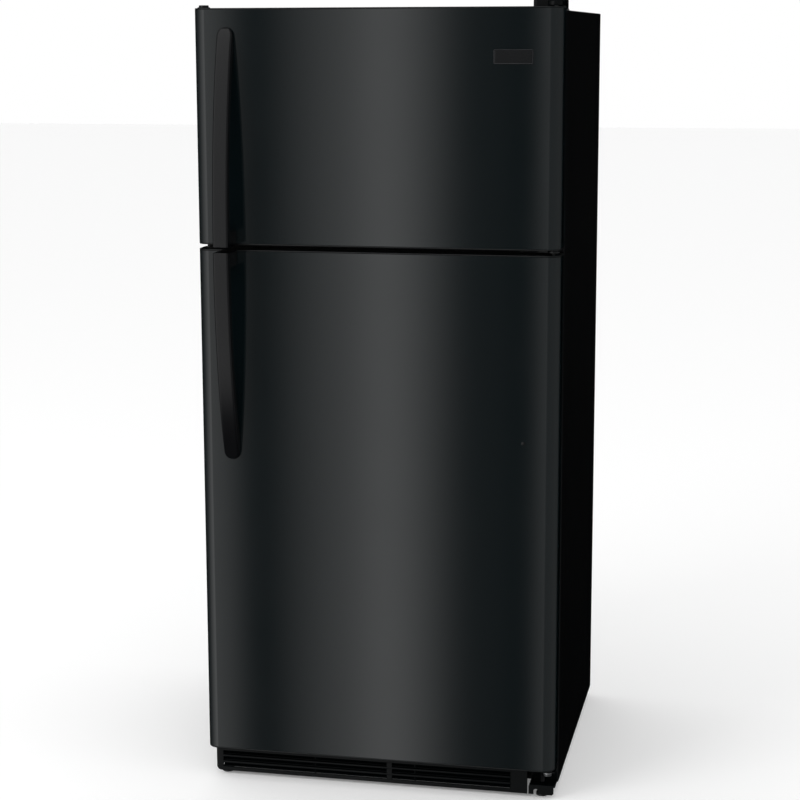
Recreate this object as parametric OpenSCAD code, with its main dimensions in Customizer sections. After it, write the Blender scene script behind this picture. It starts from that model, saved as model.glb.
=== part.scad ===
// Top freezer refrigerator: two hinged doors on a foamed steel cabinet.
// Units are millimetres. +Z is up and the doors face -Y. The origin lies on the floor,
// under the middle of the whole object with its handles.

/* [Cabinet] */
// Width of the cabinet and of both doors
body_w = 756; // [750:1:762]
// Depth of the cabinet, without the doors
body_d = 630; // [620:1:650]
// Height of the cabinet top above the floor
body_h = 1638; // [1630:1:1646]
// Height of the lower edge of the side panels
case_z = 22; // [20:1:24]
// Thickness of the insulated side walls
side_wall = 45; // [40:1:48]

/* [Doors] */
// Thickness of a door, from its front to its back
door_t = 62; // [56:1:66]
// Radius of the rounded front corners of a door, seen from above
door_r = 25; // [18:1:30]
// Height of the lower edge of the fresh food door
fridge_door_z = 70; // [68:1:74]
// Height of the fresh food door
fridge_door_h = 1085; // [1083:1:1086]
// Height of the gap between the two doors
door_gap = 10; // [9:1:11]
// Height of the freezer door
freezer_door_h = 480; // [474:1:484]
// Space between a door and the cabinet, filled by the gasket
gasket_t = 12; // [11:0.5:13]

/* [Handles] */
// How far a handle stands out from the door
handle_out = 66; // [55:1:75]
// Width of the grip, seen from the front
handle_w = 33; // [28:1:36]
// Length of each handle
handle_len = 442; // [400:1:446]

/* [Hinges] */
// Distance from the side of the door to its hinge axis
axis_in = 17; // [16:1:18]
// Radius of the hinge pins
pin_r = 4; // [3.5:0.1:4.5]
// Radial clearance of every pin and axle
run_fit = 0.05; // [0.03:0.01:0.08]

/* [Hidden] */
$fn = 48;

// sheet metal, plastic and rubber
sheet = 1.2;
liner_t = 2.5;
cover_t = 2;
loose = 0.4;
black = [0.06, 0.06, 0.065];
steel = [0.62, 0.63, 0.65];
white = [0.93, 0.94, 0.94];
clear = [0.8, 0.87, 0.9, 0.5];
foam_color = [0.86, 0.8, 0.62];
rubber = [0.1, 0.1, 0.1];

// all modules are drawn with y = 0 on the cabinet front; placed() moves them to the origin
front_y = -(body_d - gasket_t - door_t - handle_out) / 2;
half_w = body_w / 2;
inner_w = half_w - side_wall;
door_back = -gasket_t;
door_front = -gasket_t - door_t;
axis_x = half_w - axis_in;
axis_y = door_back - door_t / 2;
fridge_door_top = fridge_door_z + fridge_door_h;
freezer_door_z = fridge_door_top + door_gap;
freezer_door_top = freezer_door_z + freezer_door_h;

// the two food compartments
flange_w = 40;
flange_x = half_w - flange_w;
rail_z = fridge_door_top - 30;
rail_h = 75;
freezer_z = rail_z + rail_h;
freezer_top = body_h - 50;
freezer_d = 540;
fridge_z = 135;
fridge_top = rail_z;
fridge_d = 560;
step_y = 385;
step_z = 310;

// the machine compartment, low at the back
mach_y = 425;
mach_z = 265;
floor_z = 78;
rear_y = body_d - sheet;

// the lining of a door stands into the compartment as a raised rim
cap_t = 8;
boss_r = 12;
boss_h = 30;
rim_x = inner_w - 17;
rim_w = 30;
rim_y = 28;
rim_in = 14;
gasket_x = half_w - 24;
gasket_w = 16;
gasket_in = 14;

// shelves and drawers
shelf_y = 112;
shelf_t = 14;
shelf_levels = [560, 830];
crisper_z = 330;
crisper_y = axis_y + 143;
crisper_d = 275;
crisper_w = 289;
crisper_h = 180;
divider = 12;

// wheels and feet
roller_r = 16;
roller_w = 18;
axle_r = 3;
roller_x = 352;
front_roller_y = 52;
rear_roller_y = body_d - 32;
leg_x = 347;
leg_y = -20;
leg_r = 5;
foot_r = 13;
bracket_z = 26;

comp_x = -225;
comp_y = 525;
comp_foot_x = 86;
comp_foot_y = 58;
evap_y = 478;
fan_r = 50;
fan_x = 0;
fan_z = 1440;
cond_fan_r = 75;
cond_fan_x = 20;
cond_fan_y = 525;
cond_fan_z = 140;

module placed() translate([0, front_y, 0]) children();

// a box given by two opposite corners
module span(a, b) translate(a) cube(b - a);

// a cylinder that lies along x or y
module rod_x(p, r, h) translate(p) rotate([0, 90, 0]) cylinder(r = r, h = h);
module rod_y(p, r, h) translate(p) rotate([-90, 0, 0]) cylinder(r = r, h = h);
module rod_z(p, r, h) translate(p) cylinder(r = r, h = h);

// an open-topped box with walls t thick
module tray(a, b, t) difference() {
    span(a, b);
    span(a + [t, t, t], b + [-t, -t, 1]);
}

// a straight piece of tube from one point to another, and a bent tube through a list of points
module tube_piece(a, b, r) {
    d = b - a;
    flat = norm([d[0], d[1]]);
    translate(a) rotate([0, atan2(flat, d[2]), atan2(d[1], d[0])]) cylinder(r = r, h = norm(d));
}
module bent_tube(points, r) {
    for (i = [0 : len(points) - 2]) tube_piece(points[i], points[i + 1], r);
    for (i = [1 : len(points) - 2]) translate(points[i]) sphere(r);
}

// an axial fan around z: a hub with flat, pitched blades
module fan(r, hub_r, depth, blades) {
    difference() {
        cylinder(r = hub_r, h = depth);
        translate([0, 0, -1]) cylinder(r = axle_r + run_fit, h = depth - 3);
    }
    for (i = [0 : blades - 1]) rotate([0, 0, i * 360 / blades])
        intersection() {
            translate([hub_r - 2, 0, depth / 2]) rotate([30, 0, 0])
                translate([0, -r * 0.42, -1]) cube([r - hub_r + 2, r * 0.84, 2]);
            cylinder(r = r, h = depth);
        }
}

// a fin and tube block: rows of tubes along x joined at alternate ends
module coil_block(a, length, rows, pitch, r, fins) {
    for (j = [0 : rows[0] - 1], k = [0 : rows[1] - 1])
        rod_x(a + [0, j * pitch[0], k * pitch[1]], r, length);
    for (j = [0 : rows[0] - 1], k = [0 : rows[1] - 2])
        translate(a + [k % 2 == 0 ? length : 0, j * pitch[0], (k + 0.5) * pitch[1]])
            rotate([90, 0, k % 2 == 0 ? 0 : 180]) rotate([0, 0, -90])
                rotate_extrude(angle = 180) translate([pitch[1] / 2, 0]) circle(r);
    for (i = [0 : fins - 1])
        translate(a + [(i + 0.5) * length / fins, -pitch[0] / 2, -pitch[1] / 2])
            cube([0.8, rows[0] * pitch[0], rows[1] * pitch[1]]);
}

// ---- cabinet ----

module outer_case() color(black) placed() {
    difference() {
        span([-half_w, 0, case_z], [half_w, rear_y, body_h]);
        span([-half_w + sheet, -1, case_z - 1], [half_w - sheet, rear_y + 1, body_h - sheet]);
    }
    for (s = [-1, 1])
        translate([s * (half_w - flange_w / 2) - flange_w / 2 + sheet / 2, 0, case_z])
            cube([flange_w - sheet, sheet, body_h - case_z - sheet / 2]);
    span([-half_w + flange_w - sheet, 0, freezer_top + 10],
         [half_w - flange_w + sheet, sheet, body_h - sheet / 2]);
}

module back_panel() color(steel) placed()
    difference() {
        span([-half_w, rear_y, mach_z], [half_w, body_d, body_h]);
        for (s = [-1, 1], z = [mach_z + 20, body_h - 20])
            rod_y([s * (half_w - 15), rear_y - 1, z], 2.5, 5);
    }

// pressed parts under the cabinet: the floor, the front cross rail, the three panels round the
// machine compartment, and the roller brackets with their axles
module base_pan() color(steel) placed() {
    x = half_w - sheet - 0.2;
    rail_x = flange_x - 0.4;
    difference() {
        span([-x, sheet + 0.5, case_z + 2], [x, rear_y, case_z + 4]);
        for (s = [-1, 1], y = [front_roller_y, rear_roller_y])
            translate([s * roller_x - roller_w / 2 - 3, y - roller_r - 3, case_z])
                cube([roller_w + 6, 2 * roller_r + 6, 8]);
    }
    span([-rail_x, 0, case_z + 2], [rail_x, sheet + 0.2, fridge_z]);
    span([-x, sheet + 0.5, floor_z - sheet], [x, mach_y, floor_z]);
    span([-x, mach_y - sheet, floor_z + 0.3], [x, mach_y, mach_z - sheet - 0.3]);
    span([-x, mach_y - sheet, mach_z - sheet], [x, rear_y, mach_z]);
    for (s = [-1, 1], y = [front_roller_y, rear_roller_y]) {
        for (side = [-1, 1])
            translate([s * roller_x + side * (roller_w / 2 + 1.5) - 1, y - 14, 9])
                cube([2, 28, case_z - 7]);
        rod_x([s * roller_x - roller_w / 2 - 3, y, y == front_roller_y ? roller_r + 2 : roller_r],
              axle_r, roller_w + 6);
    }
}

module insulation_foam() color(foam_color) placed()
    difference() {
        span([-half_w + sheet, sheet, floor_z], [half_w - sheet, rear_y, body_h - sheet]);
        span([-inner_w, -1, freezer_z], [inner_w, freezer_d, freezer_top]);
        span([-inner_w, -1, fridge_z], [inner_w, step_y, fridge_top]);
        span([-inner_w, -1, step_z], [inner_w, fridge_d, fridge_top]);
        span([-half_w, mach_y - sheet, 0], [half_w, body_d, mach_z]);
        span([-flange_x - 0.4, -1, 0], [flange_x + 0.4, sheet + 0.2, fridge_z]);
    }

module freezer_liner() color(white) placed()
    difference() {
        union() {
            span([-inner_w, sheet / 2, freezer_z], [inner_w, freezer_d, freezer_top]);
            span([-flange_x, 0, freezer_z], [flange_x, sheet, freezer_top + 10]);
        }
        span([-inner_w + liner_t, -1, freezer_z + liner_t],
             [inner_w - liner_t, freezer_d - liner_t, freezer_top - liner_t]);
    }

// the fresh food liner has a step over the machine compartment and ribs under each shelf
module fridge_liner() color(white) placed() {
    difference() {
        union() {
            span([-inner_w, sheet / 2, fridge_z], [inner_w, step_y, fridge_top]);
            span([-inner_w, sheet / 2, step_z], [inner_w, fridge_d, fridge_top]);
            span([-flange_x, 0, fridge_z], [flange_x, sheet, fridge_top]);
        }
        span([-inner_w + liner_t, -1, fridge_z + liner_t],
             [inner_w - liner_t, step_y - liner_t, fridge_top - liner_t]);
        span([-inner_w + liner_t, -1, step_z + liner_t],
             [inner_w - liner_t, fridge_d - liner_t, fridge_top - liner_t]);
    }
    for (s = [-1, 1], z = [690, 960, each shelf_levels])
        translate([s * (inner_w - 6) - 4, shelf_y + 10, z - 6])
            cube([8, fridge_d - shelf_y - 20, 6]);
}

module center_rail() color(black) placed()
    span([-flange_x, 0, rail_z], [flange_x, sheet, freezer_z]);

// the rear cover has rows of air slots and a hole for the cord
module machine_cover() color([0.2, 0.2, 0.2]) placed()
    difference() {
        span([-half_w + 3, rear_y - cover_t, case_z + 5], [half_w - 3, rear_y, mach_z - 2]);
        for (x = [-290 : 116 : 290], z = [80 : 18 : 206])
            translate([x - 35, rear_y - 5, z]) cube([70, 10, 7]);
        rod_y([-half_w + 45, rear_y - 5, 60], 9.1, 10);
    }

// ---- machine compartment ----

// welded shell with a flat rim, feet and tube stubs
module compressor() color(black) placed() {
    translate([comp_x, comp_y, case_z + 22]) {
        rotate_extrude() {
            square([86, 70]);
            translate([0, 26]) square([92, 6]);
            intersection() {
                translate([0, 70]) circle(86);
                square([90, 156]);
            }
        }
        difference() {
            translate([-100, -72, -4]) cube([200, 144, 4]);
            for (x = [-1, 1], y = [-1, 1]) rod_z([x * comp_foot_x, y * comp_foot_y, -10], 7, 20);
        }
        translate([90, 0, 45]) rod_x([-8, 0, 0], 4, 24);
        translate([20, -84, 60]) cube([40, 14, 40]);
    }
}

module compressor_mounts() color(rubber) placed()
    for (x = [-1, 1], y = [-1, 1])
        translate([comp_x + x * comp_foot_x, comp_y + y * comp_foot_y, case_z + 4]) {
            cylinder(r = 12, h = 14);
            cylinder(r = 6.9, h = 20);
            translate([0, 0, 18]) cylinder(r = 10, h = 6);
        }

// condenser with its discharge and suction tubes
module condenser_coil() color([0.12, 0.12, 0.12]) placed() {
    coil_block([80, 462, 80], 200, [3, 5], [40, 28], 3, 26);
    bent_tube([[-119, 525, 89], [-108, 525, 89], [-108, 445, 89], [-108, 445, 70],
               [62, 445, 70], [62, 462, 80], [86, 462, 80]], 2.5);
}

module condenser_fan() color([0.15, 0.15, 0.16]) placed()
    translate([cond_fan_x, cond_fan_y, cond_fan_z]) rotate([0, 90, 0])
        fan(cond_fan_r, 18, 22, 5);

// both fan motors, each on a bracket with its shaft
module fan_motors() color([0.3, 0.3, 0.32]) placed() {
    translate([cond_fan_x, cond_fan_y, cond_fan_z]) {
        rod_x([-45, 0, 0], 26, 40);
        rod_x([-6, 0, 0], axle_r, 22);
        span([-40, -100, -4], [-36, 100, 4]);
        for (s = [-1, 1]) span([-40, s * 96 - 4, -cond_fan_z + case_z + 4], [-36, s * 96 + 4, 4]);
    }
    translate([fan_x, evap_y + 40, fan_z]) {
        rod_y([0, -13, 0], 20, 32);
        rod_y([0, -27, 0], axle_r, 15);
        span([-70, 12, -5], [70, 15, 5]);
    }
}

module drain_pan() color([0.25, 0.25, 0.25]) placed()
    tray([62, 440, case_z + 4.2], [303, 600, case_z + 38], 2);

// rubber inlet for the supply cord
module cord_inlet() color(rubber) placed()
    difference() {
        union() {
            rod_y([-half_w + 45, rear_y - 6, 60], 9, 7);
            rod_y([-half_w + 45, rear_y - 8, 60], 12, 5.5);
        }
        rod_y([-half_w + 45, rear_y - 9, 60], 5, 15);
    }

// ---- base front ----

// toe grille with three long air slots; its right end stops beside the bottom hinge
grille_x0 = -half_w + 12;
grille_x1 = half_w - 60;
grille_z0 = 8;
grille_z1 = 62;
grille_y = -44;
grille_wall = 3.5;
module grille_face() {
    r = 10;
    translate([grille_x0 + r, grille_z0]) square([grille_x1 - grille_x0 - r, r + 1]);
    translate([grille_x0, grille_z0 + r])
        square([grille_x1 - grille_x0, grille_z1 - grille_z0 - r]);
    translate([grille_x0 + r, grille_z0 + r]) circle(r);
}
module toe_grille() color(black) placed() {
    difference() {
        translate([0, grille_y + grille_wall, 0]) rotate([90, 0, 0])
            linear_extrude(grille_wall) grille_face();
        for (z = [17, 31, 45]) span([-350, grille_y - 1, z], [282, 0, z + 8]);
    }
    span([grille_x0, grille_y + 1, grille_z0 + 10], [grille_x0 + grille_wall, -2, grille_z1]);
    span([grille_x0, grille_y + 1, grille_z1 - 3], [grille_x1, -5, grille_z1]);
    for (x = [-250, 0, 250]) span([x - 12, grille_y + 1, 26], [x + 12, -0.1, 30]);
    for (x = [-145, 75]) span([x - 2, grille_y + 1.5, 12], [x + 2, grille_y + 6, 58]);
}

// ---- hinges ----

// where the hinge screws sit: from the hinge axis on the cabinet top, and along x elsewhere
top_screws = [[-36, 20], [-36, 56], [2, 56]];
center_screws = [-62, -40];
bottom_screws = [334, 362];
bracket_x = 322;

module top_hinge() color(steel) placed()
    difference() {
        union() {
            span([axis_x - 46, 6, body_h], [axis_x + 12, 70, body_h + 3]);
            span([axis_x - 14, 3, body_h], [axis_x + 12, 6, freezer_door_top + 6]);
            span([axis_x - 14, axis_y, freezer_door_top + 3], [axis_x + 12, 6, freezer_door_top + 6]);
            rod_z([axis_x - 1, axis_y, freezer_door_top + 3], 13, 3);
            rod_z([axis_x, axis_y, freezer_door_top - 22], pin_r, 27);
        }
        for (p = top_screws)
            rod_z([axis_x + p[0], p[1], body_h - 1], 3.1, 6);
    }

// plastic cover over the top hinge, lower where it reaches over the door
module hinge_cover() color(black) placed() {
    z = freezer_door_top;
    x0 = axis_x - 52;
    x1 = half_w - 2;
    difference() {
        union() {
            span([x0, 0.5, body_h], [x1, 78, z + 16]);
            span([axis_x - 17, axis_y, z + 1], [x1, 1, z + 11]);
            rod_z([axis_x - 1, axis_y, z + 1], 16, 10);
        }
        span([x0 + cover_t, 0.5 + cover_t, body_h - 1], [x1 - cover_t, 76, z + 14]);
        span([axis_x - 15, axis_y, z - 1], [x1 - cover_t, 10, z + 9]);
        rod_z([axis_x - 1, axis_y, z - 1], 14, 10);
    }
}

module center_hinge() color(steel) placed() {
    z = fridge_door_top + door_gap / 2;
    difference() {
        union() {
            span([axis_x - 74, -3, z - 16], [axis_x - 16, -0.1, z + 16]);
            span([axis_x - 74, -20, z - 1.5], [axis_x - 16, -0.1, z + 1.5]);
            span([axis_x - 30, axis_y, z - 1.5], [axis_x, -0.1, z + 1.5]);
            rod_z([axis_x, axis_y, z - 1.5], 12, 3);
            rod_z([axis_x, axis_y, z - 26], pin_r, 52);
        }
        for (x = center_screws) rod_y([axis_x + x, -5, z + 9], 3.1, 10);
    }
}

// bracket with the lower pin, and the threaded seats of both front feet
module bottom_hinge() color(black) placed() {
    z = fridge_door_z;
    difference() {
        union() {
            span([bracket_x, -4, bracket_z], [half_w - 1, -0.1, z - 6]);
            span([bracket_x, axis_y - 8, z - 10], [half_w - 1, -0.1, z - 6]);
            span([bracket_x, -46, bracket_z], [half_w - 1, -0.1, bracket_z + 4]);
            rod_z([axis_x, axis_y, z - 8], pin_r, 34);
            span([-half_w + 16, -4, bracket_z], [-bracket_x, -0.1, 58]);
            span([-half_w + 16, -38, bracket_z], [-bracket_x, -0.1, bracket_z + 4]);
        }
        for (s = [-1, 1]) rod_z([s * leg_x, leg_y, 0], leg_r + run_fit, 50);
        for (x = bottom_screws) rod_y([x, -10, 50], 3.1, 20);
    }
}

// nylon thrust washers under each door
module hinge_washers() color(white) placed() {
    for (z = [fridge_door_top + door_gap / 2 + 1.5, fridge_door_z - 6])
        difference() {
            rod_z([axis_x, axis_y, z], 9, door_gap / 2 - 2);
            rod_z([axis_x, axis_y, z - 1], pin_r + run_fit, 12);
        }
}

module hex_screw() {
    cylinder(r = 3, h = 3);
    translate([0, 0, 3]) cylinder(r = 6, h = 1);
    translate([0, 0, 4]) cylinder(r = 5, h = 4, $fn = 6);
}

module hinge_screws() color(steel) placed() {
    for (p = top_screws)
        translate([axis_x + p[0], p[1], body_h]) hex_screw();
    for (x = center_screws)
        translate([axis_x + x, -0.1, fridge_door_top + door_gap / 2 + 9])
            rotate([90, 0, 0]) hex_screw();
    for (x = bottom_screws) translate([x, -1.1, 50]) rotate([90, 0, 0]) hex_screw();
}

// ---- freezer interior ----

module evaporator_cover() color(white) placed() {
    difference() {
        span([-inner_w + liner_t, evap_y, freezer_z + liner_t],
             [inner_w - liner_t, evap_y + 3, freezer_top - liner_t]);
        rod_y([fan_x, evap_y - 1, fan_z], fan_r + 4, 6);
        rod_y([0, evap_y - 1, freezer_z + 30], 4 + run_fit, 6);
        for (x = [-280 : 35 : 280])
            if (abs(x) > 40)
                translate([x - 10, evap_y - 1, freezer_z + 14]) cube([20, 6, 22]);
    }
    for (a = [0 : 30 : 150])
        translate([fan_x, evap_y - 1.5, fan_z]) rotate([0, a, 0])
            translate([-fan_r - 8, 0, -1.2]) cube([2 * fan_r + 16, 2.4, 2.4]);
    for (r = [14, 28, 42])
        translate([fan_x, evap_y - 2, fan_z]) rotate([-90, 0, 0]) difference() {
            cylinder(r = r + 1.2, h = 3);
            translate([0, 0, -1]) cylinder(r = r - 1.2, h = 5);
        }
}

// evaporator with the defrost heater bent along its lower side
module evaporator_coil() color([0.7, 0.72, 0.74]) placed() {
    coil_block([-270, evap_y + 22, freezer_z + 62], 540, [2, 5], [24, 24], 4, 40);
    bent_tube([[-285, evap_y + 34, freezer_z + 150], [-285, evap_y + 34, freezer_z + 30],
               [285, evap_y + 34, freezer_z + 30], [285, evap_y + 34, freezer_z + 150]], 4);
}

module evaporator_fan() color([0.2, 0.2, 0.22]) placed()
    translate([fan_x, evap_y + 23, fan_z]) rotate([90, 0, 0]) fan(fan_r, 14, 15, 5);

// wire shelf that rests on two clips on each side wall
module freezer_shelf() color(white) placed() {
    x = inner_w - liner_t - 3;
    z = 1392;
    for (y = [150, 300, 450]) rod_x([-x, y, z], 3, 2 * x);
    for (i = [0 : 24])
        rod_y([-x + 6 + i * (2 * x - 12) / 24, 150, z + 3.5], 1.6, 300);
    for (s = [-1, 1], y = [160, 440])
        translate([s * (x - 4) - 7, y - 8, z - 10]) cube([14, 16, 7.5]);
}

// ---- fresh food interior ----

// ceiling box with the thermostat, the lamp socket and the door switch
module control_housing() color(white) placed() {
    top = fridge_top - liner_t;
    difference() {
        union() {
            span([-160, 60, top - 52], [230, 330, top]);
            span([185, 40, top - 52], [215, 61, top - 20]);
        }
        span([-157, 63, top - 60], [227, 327, top - 3]);
        rod_y([-70, 50, top - 26], 4 + run_fit, 20);
        rod_y([200, 30, top - 36], 4 + run_fit, 40);
    }
    difference() {
        span([-157, 63, top - 52], [227, 327, top - 49]);
        for (x = [-130 : 20 : 190]) span([x, 190, top - 60], [x + 12, 320, top - 40]);
    }
    rod_y([40, 300, top - 26], 16, 28);
}

module light_bulb() color([1, 0.97, 0.85]) placed()
    translate([40, 300, fridge_top - liner_t - 26]) rotate([90, 0, 0]) rotate_extrude() {
        square([10, 30]);
        translate([0, 46]) intersection() {
            circle(21);
            translate([0, -20]) square([22, 42]);
        }
    }

module shelf_frame(z) {
    x = inner_w - liner_t - 0.6;
    difference() {
        span([-x, shelf_y, z], [x, fridge_d - liner_t - 4, z + shelf_t]);
        span([-x + 22, shelf_y + 26, z - 1], [x - 22, fridge_d - 30, z + shelf_t + 1]);
        span([-x + 14, shelf_y + 18, z + shelf_t - 4], [x - 14, fridge_d - 22, z + shelf_t + 1]);
    }
}

module shelf_frames() color(white) placed()
    for (z = shelf_levels) shelf_frame(z);

module shelf_pane(z, y0) {
    x = inner_w - liner_t - 0.6;
    span([-x + 14.2, y0 + 18.2, z + shelf_t - 4], [x - 14.2, fridge_d - 22.2, z + shelf_t - 0.2]);
}

module shelf_glass() color(clear) placed() {
    for (z = shelf_levels) shelf_pane(z, shelf_y);
    shelf_pane(crisper_z, crisper_y + 2);
}

// frame over the two drawers, with rails beside them and between them
module crisper_cover() color(white) placed() {
    x = inner_w - liner_t - 0.6;
    y = crisper_y + 2;
    difference() {
        span([-x, y, crisper_z], [x, fridge_d - liner_t - 4, crisper_z + shelf_t]);
        span([-x + 22, y + 26, crisper_z - 1], [x - 22, fridge_d - 30, crisper_z + shelf_t + 1]);
        span([-x + 14, y + 18, crisper_z + shelf_t - 4],
             [x - 14, fridge_d - 22, crisper_z + shelf_t + 1]);
    }
    span([-divider / 2 + 1, y + 6, fridge_z + liner_t + 0.3], [divider / 2 - 1, step_y - 6, crisper_z + 1]);
    for (s = [-1, 1])
        translate([s * (x + crisper_w + 10) / 2 - (x - crisper_w - 10) / 2, y + 6, crisper_z - 30])
            cube([x - crisper_w - 10, step_y - y - 12, 31]);
}

// drawer with a thicker front and a pull lip along its top
module crisper(side) {
    x0 = side > 0 ? divider / 2 : -divider / 2 - crisper_w;
    z0 = fridge_z + liner_t + loose;
    tray([x0, crisper_y, z0], [x0 + crisper_w, crisper_y + crisper_d, z0 + crisper_h], 2.5);
    span([x0, crisper_y, z0], [x0 + crisper_w, crisper_y + 5, z0 + crisper_h]);
    span([x0 + 60, crisper_y - 12, z0 + crisper_h - 6],
         [x0 + crisper_w - 60, crisper_y + 1, z0 + crisper_h - 2]);
    span([x0 + 60, crisper_y - 12, z0 + crisper_h - 20],
         [x0 + crisper_w - 60, crisper_y - 9, z0 + crisper_h - 2]);
}
module crisper_left() color(clear) placed() crisper(-1);
module crisper_right() color(clear) placed() crisper(1);

module dial(r, h) {
    cylinder(r = r, h = 3);
    cylinder(r = r * 0.72, h = h);
    translate([-2.2, -r * 0.95, 0]) cube([4.4, r * 1.9, h + 2]);
    translate([0, 0, -4]) cylinder(r = 4, h = 5);
}
module temperature_knob() color(white) placed()
    translate([-70, 59.5, fridge_top - liner_t - 26]) rotate([90, 0, 0]) dial(17, 10);
module freezer_knob() color(white) placed()
    translate([0, evap_y - 0.5, freezer_z + 30]) rotate([90, 0, 0]) dial(16, 9);

module switch_plunger() color(white) placed()
    difference() {
        rod_y([200, rim_y + 1, fridge_top - liner_t - 36], 4, 26);
        rod_y([200, rim_y + 20, fridge_top - liner_t - 36], 2, 20);
    }

// ---- wheels and feet ----

module roller(p) translate(p) rotate([0, 90, 0]) difference() {
    cylinder(r = roller_r, h = roller_w, center = true);
    cylinder(r = axle_r + run_fit, h = roller_w + 2, center = true);
    for (s = [-1, 1]) translate([0, 0, s * roller_w / 2])
        difference() {
            cylinder(r = roller_r - 3, h = 4, center = true);
            cylinder(r = axle_r + 3, h = 6, center = true);
        }
}
module front_roller_left() color(rubber) placed() roller([-roller_x, front_roller_y, roller_r + 2]);
module front_roller_right() color(rubber) placed() roller([roller_x, front_roller_y, roller_r + 2]);
module rear_roller_left() color(rubber) placed() roller([-roller_x, rear_roller_y, roller_r]);
module rear_roller_right() color(rubber) placed() roller([roller_x, rear_roller_y, roller_r]);

// screw-in foot with a hexagonal collar
module leveling_leg(s) {
    rod_z([s * leg_x, leg_y, 0], foot_r, 7);
    translate([s * leg_x, leg_y, 7]) cylinder(r = 9, h = 6, $fn = 6);
    rod_z([s * leg_x, leg_y, 12], leg_r, 42);
}
module leveling_leg_left() color(steel) placed() leveling_leg(-1);
module leveling_leg_right() color(steel) placed() leveling_leg(1);

// ---- doors ----

// plan of a door: straight sides, rounded front corners, back edge at y = back
module door_outline(inset, back) {
    x = half_w - inset;
    cx = half_w - door_r;
    cy = door_front + door_r;
    translate([-x, cy]) square([2 * x, back - cy]);
    translate([-cx, door_front + inset]) square([2 * cx, door_r]);
    for (s = [-1, 1]) translate([s * cx, cy]) circle(door_r - inset);
}

// what the skin encloses, up to the back of the door
module door_hollow() {
    door_outline(sheet, door_back - sheet);
    translate([-half_w + 20, door_back - 5]) square([body_w - 40, 5]);
}

module door_skin(z0, z1)
    translate([0, 0, z0 + cap_t]) linear_extrude(z1 - z0 - 2 * cap_t) difference() {
        door_outline(0, door_back);
        door_hollow();
        translate([-half_w + 20, door_back - 5]) square([body_w - 40, 10]);
    }

// the raised rim of the lining, grown or shrunk by inset, from y0 to y1
module rim(c0, c1, inset, y0, y1) difference() {
    span([-rim_x + inset, y0, c0 + rim_in + inset], [rim_x - inset, y1, c1 - rim_in - inset]);
    span([-rim_x + rim_w - inset, y0 - 1, c0 + rim_in + rim_w - inset],
         [rim_x - rim_w + inset, y1 + 1, c1 - rim_in - rim_w + inset]);
}

module door_foam(z0, z1, c0, c1) difference() {
    union() {
        translate([0, 0, z0 + cap_t]) linear_extrude(z1 - z0 - 2 * cap_t) door_hollow();
        rim(c0, c1, liner_t, door_back - 1, rim_y - liner_t);
    }
    for (z = [z0 - 1, z1 - boss_h]) rod_z([axis_x, axis_y, z], boss_r, boss_h + 1);
}

module door_liner(z0, z1, c0, c1) difference() {
    union() {
        span([-gasket_x + gasket_w + 2, door_back, z0 + gasket_in + gasket_w + 2],
             [gasket_x - gasket_w - 2, door_back + liner_t, z1 - gasket_in - gasket_w - 2]);
        rim(c0, c1, 0, door_back, rim_y);
    }
    rim(c0, c1, liner_t, door_back - 1, rim_y - liner_t);
}

// end caps with the hinge bores
module door_caps(z0, z1) difference() {
    union() {
        for (z = [z0, z1 - cap_t]) translate([0, 0, z]) linear_extrude(cap_t)
            door_outline(0, door_back);
        for (z = [z0, z1 - boss_h]) rod_z([axis_x, axis_y, z], boss_r, boss_h);
    }
    for (z = [z0 - 1, z1 - boss_h + 2]) rod_z([axis_x, axis_y, z], pin_r + run_fit, boss_h - 1);
}

module door_gasket(z0, z1) difference() {
    span([-gasket_x, door_back, z0 + gasket_in], [gasket_x, -0.3, z1 - gasket_in]);
    span([-gasket_x + gasket_w, door_back - 1, z0 + gasket_in + gasket_w],
         [gasket_x - gasket_w, 1, z1 - gasket_in - gasket_w]);
    span([-gasket_x + 5, door_back + 3.5, z0 + gasket_in + 5],
         [gasket_x - 5, door_back + 7.5, z1 - gasket_in - 5]);
}

// bowed grip: it lies on the door at its far end and stands off on a foot at the gap end
function bow(t) = pow(1 - pow(1 - t, 2), 0.82);
grip_t = 20;
tip_out = 5;
far_t = 0.12;
near_t = 0.93;
steps = 24;
module grip_side(length) polygon(concat(
    [for (i = [0 : steps]) let (t = i / steps)
        [-tip_out - (handle_out - tip_out) * bow(t), t * length]],
    [[0, length]],
    [for (i = [steps : -1 : 0]) let (u = i / steps)
        [-(handle_out - grip_t) * bow(u), (far_t + u * (near_t - far_t)) * length]],
    [[0, 0]]));

// a handle that starts at its far end, z = 0, and runs up to the gap end
module handle(length) intersection() {
    translate([-handle_w / 2, door_front, 0]) rotate([90, 0, 90])
        linear_extrude(handle_w) grip_side(length);
    translate([0, door_front + 1, 0]) rotate([90, 0, 0]) linear_extrude(handle_out + 2) {
        translate([0, handle_w / 2]) circle(handle_w / 2);
        translate([-handle_w / 2, handle_w / 2]) square([handle_w, length - handle_w / 2]);
    }
}
handle_x = -307;

module freezer_door_panel() color(black) placed() door_skin(freezer_door_z, freezer_door_top);
module freezer_door_foam() color(foam_color) placed()
    door_foam(freezer_door_z, freezer_door_top, freezer_z, freezer_top);
module freezer_door_liner() color(white) placed()
    door_liner(freezer_door_z, freezer_door_top, freezer_z, freezer_top);
module freezer_door_caps() color(black) placed() door_caps(freezer_door_z, freezer_door_top);
module freezer_door_gasket() color(black) placed() door_gasket(freezer_door_z, freezer_door_top);
module freezer_handle() color(black) placed()
    translate([handle_x, 0, freezer_door_z + handle_len]) mirror([0, 0, 1]) handle(handle_len);

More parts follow.
